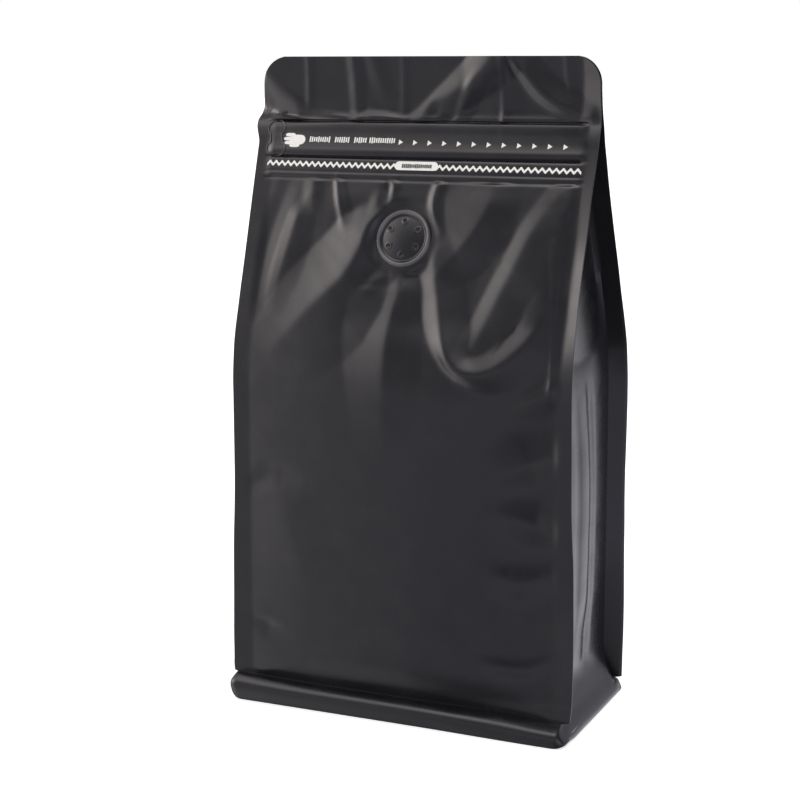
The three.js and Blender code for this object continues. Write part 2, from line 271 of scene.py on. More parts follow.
# ---------------------------------------------------------------- the films and their folds
@dataclass(frozen=True)
class Fold:
    """A ridge or valley of the film along a line.

    Attributes:
        name: where the fold runs.
        power: 1 for flat flanks, more for flanks that hollow towards their foot.
        crest: radius of the crest, in millimetres.
        line: rows of (x, z, height, reach left, reach right), sides as seen while travelling.
    """

    name: str
    power: float
    crest: float
    line: tuple[tuple[float, float, float, float, float], ...]

    def height(self, x: np.ndarray, z: np.ndarray) -> np.ndarray:
        """Height that the fold adds to the film.

        Args:
            x: places across the bag, in millimetres.
            z: heights above the floor, in millimetres.

        Returns:
            How far the film stands out at each place.
        """
        path = curve_through(self.line)
        reach = path[:, 3:].max() + 1.0
        added = np.zeros(x.shape)
        low, high = path[:, :2].min(0) - reach, path[:, :2].max(0) + reach
        near = (x > low[0]) & (x < high[0]) & (z > low[1]) & (z < high[1])
        if not near.any():
            return added
        px, pz = x[near], z[near]
        closest = np.full(px.shape, np.inf)
        carried = np.zeros((*px.shape, 3))
        side = np.ones(px.shape)
        for a, b in zip(path[:-1], path[1:]):
            dx, dz = b[0] - a[0], b[1] - a[1]
            t = np.clip(((px - a[0]) * dx + (pz - a[1]) * dz) / (dx * dx + dz * dz), 0, 1)
            ex, ez = px - a[0] - t * dx, pz - a[1] - t * dz
            away = np.hypot(ex, ez)
            nearer = away < closest
            closest = np.where(nearer, away, closest)
            carried[nearer] = (a[2:] + (b[2:] - a[2:]) * t[:, None])[nearer]
            side = np.where(nearer, np.where(dx * ez - dz * ex >= 0, 1, -1), side)
        width = np.where(side > 0, carried[:, 1], carried[:, 2])
        share = (np.sqrt(closest**2 + self.crest**2) - self.crest) / width
        added[near] = carried[:, 0] * np.clip(1 - share, 0, 1) ** self.power
        return added


def all_folds(folds: Sequence[Fold], x: np.ndarray, z: np.ndarray) -> np.ndarray:
    """Height that a set of folds adds to a film at each place."""
    return sum((fold.height(x, z) for fold in folds), np.zeros(x.shape))


FOLDS: tuple[Fold, ...] = (
    Fold("sweep", 1.25, 1.3, (
        (9.4, 172, 0.4, 6, 4), (11, 165, 1.5, 8, 6.6), (13.6, 157, 2.2, 8.5, 7.2), (15.8, 148, 2.6, 8.5, 7),
        (18.2, 139.8, 2.8, 8, 5.4), (20.2, 134.8, 2.9, 6.5, 3.6), (23.4, 131, 2.9, 5.4, 3.2),
        (27.4, 129.4, 3, 5, 4), (32, 129.6, 2.9, 5.2, 6.4), (37.2, 131.4, 2.8, 5.6, 8.6),
        (43, 135.4, 2.6, 6.2, 9.6), (48.4, 141, 2.3, 6.6, 9), (52.2, 147.6, 1.8, 6.6, 7),
        (55, 154, 1, 5.5, 5), (56.6, 159.5, 0.2, 4, 3),
    )),
    Fold("right_ridge", 1.1, 1.5, (
        (58.5, 192, 0.4, 6, 4.5), (54.4, 189.4, 0.9, 12, 4.5), (50, 183, 1.1, 16, 4.8),
        (45.9, 176.2, 1.2, 18, 4.8), (42.7, 168.6, 1.2, 20, 5), (38.8, 160, 1.25, 20, 5.2),
        (35.2, 151.4, 1.25, 18, 5.2), (31.7, 143.6, 1.1, 14, 5), (28.7, 137.8, 0.8, 8, 4.6),
        (26.6, 134.6, 0.3, 5, 4),
    )),
    Fold("right_swell", 1.0, 2.5, (
        (51, 186, 0.5, 6, 12), (52.4, 178, 1.3, 5, 18), (53, 168, 1.8, 4.6, 22), (51.6, 160, 1.6, 4.6, 22),
        (46.5, 152, 0.9, 5, 18),
    )),
    Fold("right_facet", 1.2, 0.8, (
        (30.6, 194, 1.1, 8, 14), (29.6, 187, 1.9, 10, 16), (26.6, 179.5, 2.2, 12, 16), (22, 172.5, 2, 11, 13),
        (16, 165.5, 1.1, 9, 9), (12, 161, 0.3, 6, 6),
    )),
    Fold("left_streak", 1.1, 0.6, (
        (-43.6, 183, 0.2, 6, 3), (-44.6, 180, 0.8, 7, 4), (-46.2, 173, 0.8, 8, 4.4),
        (-47.8, 166, 0.8, 8, 4.6), (-49.2, 159.5, 0.6, 8, 4.8), (-51, 150, 0.2, 6, 4),
    )),
    Fold("left_root", 1.2, 1.0, (
        (-49, 194.5, -0.1, 4, 4), (-52.2, 185, -0.3, 4, 4.5), (-55.4, 174.5, -0.5, 4.5, 4.5),
        (-57, 166, -0.6, 4.5, 4.5), (-57.8, 158, -0.5, 4.5, 4.5), (-58.2, 146, -0.2, 4.5, 4),
    )),
    Fold("valve_sweep", 1.1, 1.4, (
        (-11.6, 183.5, 0.6, 8, 5), (-13, 179.5, 2.2, 8, 9), (-15, 174, 3.6, 8, 13), (-18, 167, 4.1, 12, 15),
        (-22, 160.5, 4, 18, 16), (-28.5, 154, 3.2, 22, 16), (-36, 147, 2.1, 22, 15), (-44, 138, 0.8, 20, 13),
        (-51, 129, 0.1, 14, 10),
    )),
    Fold("valve_left_brow", 1.1, 0.6, (
        (-26.5, 178.6, -0.1, 5, 3), (-22.5, 181.6, -0.6, 6, 4), (-17, 182.4, -0.7, 6, 4),
        (-12, 181.4, -0.2, 5, 3),
    )),
    Fold("valve_left_pleat", 1.2, 0.5, (
        (-30.6, 194, 0.7, 2.5, 1.4), (-29, 187.5, 0.9, 3, 1.6), (-26.6, 180.5, 0.7, 3, 1.8),
        (-25.4, 177, 0.2, 3, 2),
    )),
    Fold("valve_left_facet", 1.1, 0.8, (
        (-13.8, 193.5, 0.35, 2, 13), (-12.6, 187, 0.35, 2, 11), (-12, 182, 0.1, 2, 8),
    )),
    Fold("valve_tuck", 1.1, 0.5, (
        (-13.6, 155.5, 0.2, 3, 3), (-10.6, 158.4, 0.6, 3, 3), (-7.4, 160.4, 0.8, 3, 3.4),
        (-4.4, 160.6, 0.6, 3, 3.4), (-2.6, 159.6, 0.2, 3, 3),
    )),
    Fold("valve_stripe", 1.2, 0.9, (
        (-1.2, 162, 1.4, 4, 11), (-0.4, 156, 2.5, 7, 16), (-1.6, 149.5, 3, 9, 18), (-2.6, 141, 2.9, 11, 18),
        (-2.6, 131, 2.3, 12, 16.5), (-2.4, 122, 1.6, 12, 15), (-2.8, 112, 0.9, 11, 13),
        (-3, 100, 0.15, 9, 12),
    )),
    Fold("valve_leaf", 1.1, 0.4, (
        (10, 194, 0.9, 2.5, 2.4), (8.6, 188, 1.2, 2.5, 2.6), (9.2, 182, 1.1, 2.5, 2.6),
        (11.2, 176.6, 0.3, 2.5, 2.6),
    )),
    Fold("valve_top_tuck", 1.1, 0.5, (
        (-8.4, 193.6, 0.8, 2, 2.2), (-7.6, 191, 0.7, 2, 2.2), (-7.8, 187, 0.1, 2, 2),
    )),
    Fold("valve_corner_dent", 1.1, 0.6, (
        (-9.4, 191, -0.4, 1.8, 2), (-10.2, 187, -0.6, 2, 2.2), (-11.4, 183, -0.2, 2, 2),
    )),
    Fold("right_corner_tuck", 1.1, 0.6, (
        (59.6, 193, 0.9, 1.6, 7), (59.4, 188.5, 1.1, 1.6, 5.5), (57.8, 184.5, 0.7, 1.6, 3.4),
        (56.4, 180, 0.1, 1.4, 2),
    )),
    Fold("left_blob", 1.2, 0.8, (
        (-39.8, 194, 0.5, 3.5, 4), (-39.4, 187.5, 0.6, 4, 4.4), (-38.2, 180, 0.1, 4, 4),
    )),
    Fold("right_root_line", 1.0, 0.3, (
        (53.8, 174, 0.2, 1.4, 1.3), (55, 166, 0.5, 1.4, 1.3), (56, 157, 0.6, 1.4, 1.3),
        (56.8, 145, 0.6, 1.4, 1.3), (57.2, 132, 0.6, 1.4, 1.3), (57.2, 121, 0.2, 1.4, 1.3),
    )),
    Fold("left_wedge", 1.1, 0.8, (
        (-66, 214.2, 0.4, 16, 1.2), (-59, 214.2, 1.7, 12, 1.2), (-51, 214.2, 2, 7.5, 1.2),
        (-45, 214.2, 1.2, 3.2, 1.2), (-30, 214.2, 0.5, 1.8, 1), (-28, 214.2, 0.1, 1.6, 1),
    )),
    Fold("tent", 1.0, 0.5, (
        (-27.6, 214, 0.3, 1.4, 1.4), (-21, 215.3, 1.1, 2.4, 2), (-14.5, 215.1, 1, 2, 1.8),
        (-7.6, 213.9, 0.4, 1.4, 1.2),
    )),
    Fold("diagonal", 1.0, 1.6, (
        (-5, 213.2, 0.4, 2, 3), (0, 215.6, 1, 3, 4), (7, 220, 1.7, 4.6, 5), (14.4, 225, 2.2, 6, 6),
        (22.4, 230.8, 2.5, 7.4, 7), (29.4, 237, 2.6, 8.4, 8),
    )),
    Fold("top_facet", 1.0, 0.5, (
        (12.4, 213.6, 0.4, 2.2, 3.6), (15.4, 219.6, 1.1, 2.6, 4), (18.4, 225.4, 0.9, 3, 4),
        (20.6, 229.4, 0.2, 3, 4),
    )),
    Fold("top_dent", 1.1, 0.6, (
        (2.2, 215.6, -0.3, 2.2, 2.2), (5, 218.2, -0.7, 2.6, 2.4), (8, 220, -0.2, 2.4, 2.2),
    )),
    Fold("top_line_right", 1.0, 0.3, (
        (29.8, 237, 0.6, 2.6, 1.5), (29.9, 226, 0.6, 2.4, 1.5), (30.2, 214, 0.7, 2, 1.6),
        (30.6, 204, 0.3, 2, 1.6),
    )),
    Fold("top_shade_right", 1.0, 2.0, ((24, 237, 0.8, 8, 8), (26, 226, 0.9, 9, 9), (27.5, 215, 0.3, 8, 8))),
    Fold("right_curve", 1.1, 0.5, (
        (33.4, 237.5, 1.8, 7, 3), (35.6, 233, 2, 7, 3.2), (39.6, 228, 2.2, 7, 3.6),
        (44.2, 223.4, 2.3, 7, 3.8), (50, 219.6, 2.2, 6.5, 3.6), (56, 217.4, 1.8, 6, 3),
        (61, 215.8, 1.4, 5, 2.2), (66, 214.6, 1, 4, 1.6),
    )),
    Fold("top_line_far_right", 1.1, 0.4, (
        (52.4, 237, 0.5, 2, 1.8), (53.2, 229, 0.5, 2, 1.8), (55, 221, 0.2, 2, 1.8),
    )),
    Fold("top_line_middle", 1.1, 0.4, ((-8.2, 237, 0.35, 1.8, 1.6), (-8, 217, 0.2, 1.8, 1.6))),
    Fold("top_pleat_wide", 1.1, 0.7, (
        (-27.6, 237, 0.9, 2.6, 3.4), (-26.6, 226, 0.8, 2.6, 3.2), (-26.2, 214.6, 0.4, 2.6, 2.6),
    )),
    Fold("top_line_left", 1.1, 0.4, ((-45.6, 237, 0.5, 1.8, 1.8), (-45.6, 220, 0.35, 1.8, 1.8))),
    Fold("top_pleat_faint", 1.2, 0.8, (
        (-20.6, 237, 0.6, 4, 3.6), (-18, 229, 0.5, 4, 3.4), (-15, 221, 0.1, 4, 3),
    )),
    Fold("dent_left", 1.1, 0.8, (
        (-56.6, 83, -0.3, 3, 4.5), (-51, 86.6, -0.7, 4, 6), (-44, 87.6, -0.7, 4.5, 7), (-35, 85, -0.15, 5, 6),
    )),
    Fold("swell_left", 1.3, 2.5, (
        (-46, 84, 0.2, 10, 8), (-43, 74, 0.5, 14, 12), (-38.5, 60, 0.6, 16, 16), (-34.5, 49, 0.2, 16, 18),
    )),
    Fold("crease_left", 1.0, 0.35, (
        (-57.2, 31.4, -0.2, 1.2, 3), (-50.4, 29.8, -0.7, 1.5, 4.5), (-41.6, 28.4, -0.1, 1.2, 3),
    )),
    Fold("dent_right_upper", 1.2, 0.8, (
        (36, 93, -0.1, 8, 4), (42, 95, -1.2, 11, 6), (49, 98, -2, 13, 6.5), (56, 101.4, -1.1, 10, 6),
    )),
    Fold("dent_right_middle", 1.05, 0.6, (
        (38, 80, -0.3, 5, 5), (44, 78.8, -1.4, 7.5, 7), (51, 76.6, -2, 9.5, 7.5), (56.8, 74.8, -0.9, 7, 6),
    )),
    Fold("dent_right_lower", 1.15, 0.8, (
        (35.6, 60.5, -0.2, 3.5, 5), (41, 57.4, -1.2, 5.8, 7), (47, 56, -1.6, 7, 7.5),
        (56.4, 59.4, -0.5, 4, 6),
    )),
    Fold("crease_right", 1.0, 0.35, (
        (33, 27, -0.2, 1.4, 3), (40, 25.4, -0.9, 2, 4), (49, 25.4, -1, 2.2, 4), (56.8, 28.8, -0.3, 1.4, 3),
    )),
    Fold("shoulder_right", 1.2, 0.8, ((44, 118, 0.1, 3, 5), (51, 121, 0.7, 3.5, 6), (59, 125.5, 1.1, 4, 6))),
)

BACK_FOLDS: tuple[Fold, ...] = (
    Fold("back_sweep", 1.4, 1.0, (
        (-52, 150, 0.3, 6, 8), (-30, 136, 1.8, 8, 10), (0, 130, 2.2, 9, 12), (30, 137, 1.8, 8, 10),
        (52, 152, 0.3, 6, 8),
    )),
    Fold("back_left", 1.3, 0.8, ((-45, 190, 0.4, 6, 5), (-38, 165, 1.6, 7, 7), (-22, 140, 0.4, 5, 6))),
    Fold("back_right", 1.3, 0.8, ((40, 190, 0.4, 5, 6), (36, 170, 1.5, 7, 7), (25, 142, 0.4, 6, 5))),
    Fold("back_centre", 1.3, 0.8, ((-3, 191, 0.6, 5, 5), (2, 172, 1.3, 6, 6), (1, 148, 0.2, 5, 5))),
    Fold("back_low_left", 1.2, 0.8, ((-57, 62, -0.6, 6, 6), (-44, 58, -0.5, 5, 6), (-34, 59, -0.1, 4, 5))),
    Fold("back_low_right", 1.2, 0.8, ((57, 84, -0.7, 6, 6), (46, 88, -0.6, 5, 6), (36, 92, -0.1, 4, 5))),
)


@dataclass(frozen=True)
class FrontFilm:
    """The bag's front film: its depth y at any place across and up the front.

    Attributes:
        seat_flat: radius of the flat seat of the valve, in millimetres.
        seat_blend: width over which the seat runs out into the film.
        seat_depth: y of the seat at the valve's centre.
        seat_slope: how far the seat leans back for each millimetre up.
        band_calm: share of a fold that the stiff zipper band irons out.
        band_edge: x at which the band's relief ends.
        fold_end: x at which every fold has run out, up to the band's top.
        head_start: height of the band's top edge, above which the folds run further out.
        head_fold_end: x at which they have run out above it.
        left_curl_run: width over which the upper left edge turns back.
        right_curl_end: x at which the right edge has its full curl.
    """

    seat_flat: float = 10.7
    seat_blend: float = 3.4
    seat_depth: float = -20.3
    seat_slope: float = 0.33
    band_calm: float = 0.85
    band_edge: float = 60.8
    fold_end: float = 60.4
    head_start: float = 212.0
    head_fold_end: float = 65.0
    left_curl_run: float = 16.0
    right_curl_end: float = 64.6

    def curl(self, x: np.ndarray, z: np.ndarray) -> np.ndarray:
        """How far the sealed edges turn back at the upper left, less how far forward at the right.

        Args:
            x: places across the front, in millimetres.
            z: heights above the floor, in millimetres.

        Returns:
            What the curl adds to the depth at each place, in millimetres.
        """
        run = np.clip((along(LEFT_CURL_START, z) - x) / self.left_curl_run, 0, 1.3)
        start = along(RIGHT_CURL_START, z)
        forward = along(RIGHT_CURL, z) * np.clip((x - start) / (self.right_curl_end - start), 0, 1.2)
        return along(LEFT_CURL_BACK, z) * run**1.2 - forward

    def fin_plane(self, x: np.ndarray, z: np.ndarray) -> np.ndarray:
        """Depth of the plane of the front fins, turned back towards the right edge."""
        return along(FRONT_LINE, z) + along(RIGHT_LEAN, z) * rightward(x) + self.curl(x, z)

    def bulge(self, x: np.ndarray, z: np.ndarray) -> np.ndarray:
        """How far the filling pushes the panel out, with a flat facet below an arch at its foot.

        Args:
            x: places across the front, in millimetres.
            z: heights above the floor, in millimetres.

        Returns:
            How far the panel stands out at each place, in millimetres.
        """
        arch = along(BELLY_ARCH, x)
        low = SEAM_HEIGHT + (z - SEAM_HEIGHT) * (BELLY_ARCH_TOP - SEAM_HEIGHT) / (arch - SEAM_HEIGHT)
        high = BELLY_ARCH_TOP + (z - arch) * (BELLY_SETTLED - BELLY_ARCH_TOP) / (BELLY_SETTLED - arch)
        level = np.where(z < arch, low, np.where(z < BELLY_SETTLED, high, z))
        return along(FRONT_BULGE, level) * (1 - np.clip(np.abs(x) / PANEL_HALF, 0, 1) ** 2.1)

    def depth(self, x: np.ndarray, z: np.ndarray) -> np.ndarray:
        """Depth of the film's outer face.

        Args:
            x: places across the front, in millimetres.
            z: heights above the floor, in millimetres.

        Returns:
            The y of the film at each place, in millimetres.
        """
        in_band = ease((z - BAND_LOW) / 1.6) * ease(BAND_HIGH - z)
        end = np.where(z > self.head_start, self.head_fold_end, self.fold_end)
        folds = all_folds(FOLDS, x, z) * (1 - self.band_calm * in_band) * ease((end - np.abs(x)) / 3)
        band = along(BAND_RELIEF, z) * ease((self.band_edge - np.abs(x)) / 1.5)
        loose = self.fin_plane(x, z) - self.bulge(x, z) - folds - band
        away = np.hypot(x - VALVE_X, z - VALVE_Z)
        flat = self.seat_depth + self.seat_slope * (z - VALVE_Z)
        return flat + (loose - flat) * ease((away - self.seat_flat) / self.seat_blend)


# ---------------------------------------------------------------- node helper and finishes
def linear(hex_colour: str) -> tuple[float, float, float, float]:
    """Turns an sRGB hex colour to linear RGBA.

    Args:
        hex_colour: the colour, such as "#1c1b1e".

    Returns:
        Its linear red, green and blue, and an alpha of 1.
    """
    parts = [int(hex_colour[i : i + 2], 16) / 255 for i in (1, 3, 5)]
    r, g, b = (c / 12.92 if c <= 0.04045 else ((c + 0.055) / 1.055) ** 2.4 for c in parts)
    return (r, g, b, 1.0)


def add_node(
    tree: bpy.types.NodeTree, kind: str, inputs: dict | None = None, **settings: object
) -> bpy.types.Node:
    """Adds a node with its settings, and links or sets its inputs.

    Args:
        tree: the node tree that gets the node.
        kind: the node's type name in Blender.
        inputs: value or output socket for each input, by name or number.
        settings: properties of the node itself.

    Returns:
        The new node.
    """
    node = tree.nodes.new(kind)
    for key, value in settings.items():
        setattr(node, key, value)
    for key, value in (inputs or {}).items():
        if isinstance(value, bpy.types.NodeSocket):
            tree.links.new(value, node.inputs[key])
        else:
            node.inputs[key].default_value = value
    return node


@dataclass(frozen=True)
class Finish:
    """A real finish, turned into a material with one shader on object coordinates."""

    name: str

    def build(self) -> bpy.types.Material:
        """Builds the finish's material.

        Returns:
            The material, ready for a piece.
        """
        material = bpy.data.materials.new(self.name)
        material.use_nodes = True
        tree = material.node_tree
        tree.nodes.clear()
        place = add_node(tree, "ShaderNodeTexCoord").outputs["Object"]
        shader = add_node(tree, "ShaderNodeBsdfPrincipled", self.surface(tree, place))
        add_node(tree, "ShaderNodeOutputMaterial", {"Surface": shader.outputs["BSDF"]})
        return material

    def surface(self, tree: bpy.types.NodeTree, place: bpy.types.NodeSocket) -> dict[str, object]:
        """Says what goes into the finish's shader.

        Args:
            tree: the material's node tree.
            place: object coordinates.

        Returns:
            A value or an output socket for each input of the shader.
        """
        raise NotImplementedError


@dataclass(frozen=True)
class MattLaminate(Finish):
    """Black PET/aluminium laminate with a matt lacquer, blown, printed solid black and laminated.

    It looks nearly black face on, with soft broad highlights on each fold and a clear grey sheen
    where it is seen along its surface. Fine unevenness comes from the laminating rollers.
    """

    name: str = "black_matt_laminate_film"
    colour: str = "#121216"
    warm: str = "#161517"
    roughness: float = 0.25
    roughness_spread: float = 0.04
    ior: float = 1.5
    ripple_mm: float = 9.0
    grain_mm: float = 0.5
    ripple_bump_mm: float = 0.05
    grain_bump_mm: float = 0.002

    def surface(self, tree: bpy.types.NodeTree, place: bpy.types.NodeSocket) -> dict[str, object]:
        """Gives the black film an uneven gloss and a fine ripple from the rollers.

        Args:
            tree: the material's node tree.
            place: object coordinates.

        Returns:
            A value or an output socket for each input of the shader.
        """
        ripple, grain = (
            add_node(
                tree, "ShaderNodeTexNoise", {"Vector": place, "Scale": 1 / (width * MM), "Detail": detail}
            ).outputs["Fac"]
            for width, detail in ((self.ripple_mm, 2.0), (self.grain_mm, 1.0))
        )
        rough = add_node(
            tree, "ShaderNodeMapRange",
            {"Value": ripple, "From Min": 0.3, "From Max": 0.7,
             "To Min": self.roughness - self.roughness_spread,
             "To Max": self.roughness + self.roughness_spread},
        )
        wave = add_node(
            tree, "ShaderNodeBump",
            {"Height": ripple, "Distance": self.ripple_bump_mm * MM, "Strength": 1.0},
        )
        fine = add_node(
            tree, "ShaderNodeBump",
            {"Height": grain, "Distance": self.grain_bump_mm * MM, "Strength": 1.0,
             "Normal": wave.outputs["Normal"]},
        )
        return {
            "Base Color": self.tone(tree, place, ripple), "Roughness": rough.outputs["Result"],
            "IOR": self.ior, "Metallic": 0.0, "Normal": fine.outputs["Normal"],
        }

    def tone(
        self, tree: bpy.types.NodeTree, place: bpy.types.NodeSocket, ripple: bpy.types.NodeSocket
    ) -> bpy.types.NodeSocket:
        """Mixes the black of the film.

        Args:
            tree: the material's node tree.
            place: object coordinates.
            ripple: soft noise over the film.

        Returns:
            The colour's socket.
        """
        colours = {0: ripple, 6: linear(self.colour), 7: linear(self.warm)}
        return add_node(tree, "ShaderNodeMix", colours, data_type="RGBA").outputs[2]


@dataclass(frozen=True)
class StretchedLaminate(MattLaminate):
    """The same laminate drawn tight over the valve by hot welding.

    On the crest of the weld ring its colour is painted paler, a painted highlight that stands in for the light the
    raised ring catches, so that the ring shows all round.

    Attributes:
        ring_highlight: colour of the painted highlight on the ring's crest.
        ring_radius: radius of the painted highlight's line, in millimetres.
        ring_full: distance from that line within which it is palest.
        ring_plain: distance beyond which the film is plain.
    """

    name: str = "black_laminate_stretched_over_valve"
    # Painted highlight: the paler colour laid on the weld ring's crest in place of the light it catches.
    ring_highlight: str = "#504d50"
    ring_radius: float = 9.5
    ring_full: float = 0.35
    ring_plain: float = 1.0

    def tone(
        self, tree: bpy.types.NodeTree, place: bpy.types.NodeSocket, ripple: bpy.types.NodeSocket
    ) -> bpy.types.NodeSocket:
        """Mixes the film's black with the painted highlight on the ring.

        Args:
            tree: the material's node tree.
            place: object coordinates.
            ripple: soft noise over the film.

        Returns:
            The colour's socket.
        """
        centre = (VALVE_X * MM, (FrontFilm.seat_depth - 0.6) * MM, VALVE_Z * MM)
        offset = add_node(tree, "ShaderNodeVectorMath", {0: place, 1: centre}, operation="SUBTRACT")
        radius = add_node(tree, "ShaderNodeVectorMath", {0: offset.outputs[0]}, operation="LENGTH")
        away = add_node(
            tree, "ShaderNodeMath", {0: radius.outputs["Value"], 1: self.ring_radius * MM}, operation="SUBTRACT"
        )
        span = add_node(tree, "ShaderNodeMath", {0: away.outputs["Value"]}, operation="ABSOLUTE")
        share = add_node(
            tree, "ShaderNodeMapRange",
            {"Value": span.outputs["Value"], "From Min": self.ring_full * MM,
             "From Max": self.ring_plain * MM, "To Min": 1.0, "To Max": 0.0},
            interpolation_type="SMOOTHSTEP",
        )
        black = super().tone(tree, place, ripple)
        # Painted highlight: the ring's crest is mixed towards a paler colour, standing in for light falling on the
        # raised ring.
        colours = {0: share.outputs["Result"], 6: black, 7: linear(self.ring_highlight)}
        return add_node(tree, "ShaderNodeMix", colours, data_type="RGBA").outputs[2]


@dataclass(frozen=True)
class PrintedInk(Finish):
    """Gravure ink under the matt lacquer: flat and a little mottled, without relief of its own."""

    colour: str
    worn: str
    roughness: float = 0.45
    ior: float = 1.5
    mottle_mm: float = 0.8

    def surface(self, tree: bpy.types.NodeTree, place: bpy.types.NodeSocket) -> dict[str, object]:
        """Gives the ink a fine mottle.

        Args:
            tree: the material's node tree.
            place: object coordinates.

        Returns:
            A value or an output socket for each input of the shader.
        """
        mottle = add_node(
            tree, "ShaderNodeTexNoise", {"Vector": place, "Scale": 1 / (self.mottle_mm * MM), "Detail": 2.0}
        )
        colours = {0: mottle.outputs["Fac"], 6: linear(self.colour), 7: linear(self.worn)}
        tone = add_node(tree, "ShaderNodeMix", colours, data_type="RGBA")
        return {"Base Color": tone.outputs[2], "Roughness": self.roughness, "IOR": self.ior, "Metallic": 0.0}


@dataclass(frozen=True)
class PaintedFloor(Finish):
    """Matt white studio floor, rolled paint: even and bright, with a soft contact shadow."""

    name: str = "white_studio_floor"
    colour: str = "#f4f4f4"
    glow: float = 0.55
    roller_mm: float = 2.5
    roller_bump_mm: float = 0.02

    def surface(self, tree: bpy.types.NodeTree, place: bpy.types.NodeSocket) -> dict[str, object]:
        """Gives the white paint the roller's fine orange peel.

        Args:
            tree: the material's node tree.
            place: object coordinates.

        Returns:
            A value or an output socket for each input of the shader.
        """
        roller = add_node(
            tree, "ShaderNodeTexNoise", {"Vector": place, "Scale": 1 / (self.roller_mm * MM), "Detail": 2.0}
        )
        relief = add_node(
            tree, "ShaderNodeBump",
            {"Height": roller.outputs["Fac"], "Distance": self.roller_bump_mm * MM, "Strength": 0.3},
        )
        return {
            "Base Color": linear(self.colour), "Roughness": 0.9, "Specular IOR Level": 0.0,
            "Emission Color": linear("#ffffff"), "Emission Strength": self.glow,
            "Normal": relief.outputs["Normal"],
        }


# ---------------------------------------------------------------- the pouch
class Side(Enum):
    """The two sides of the bag, as the sign of x."""

    LEFT = -1
    RIGHT = 1


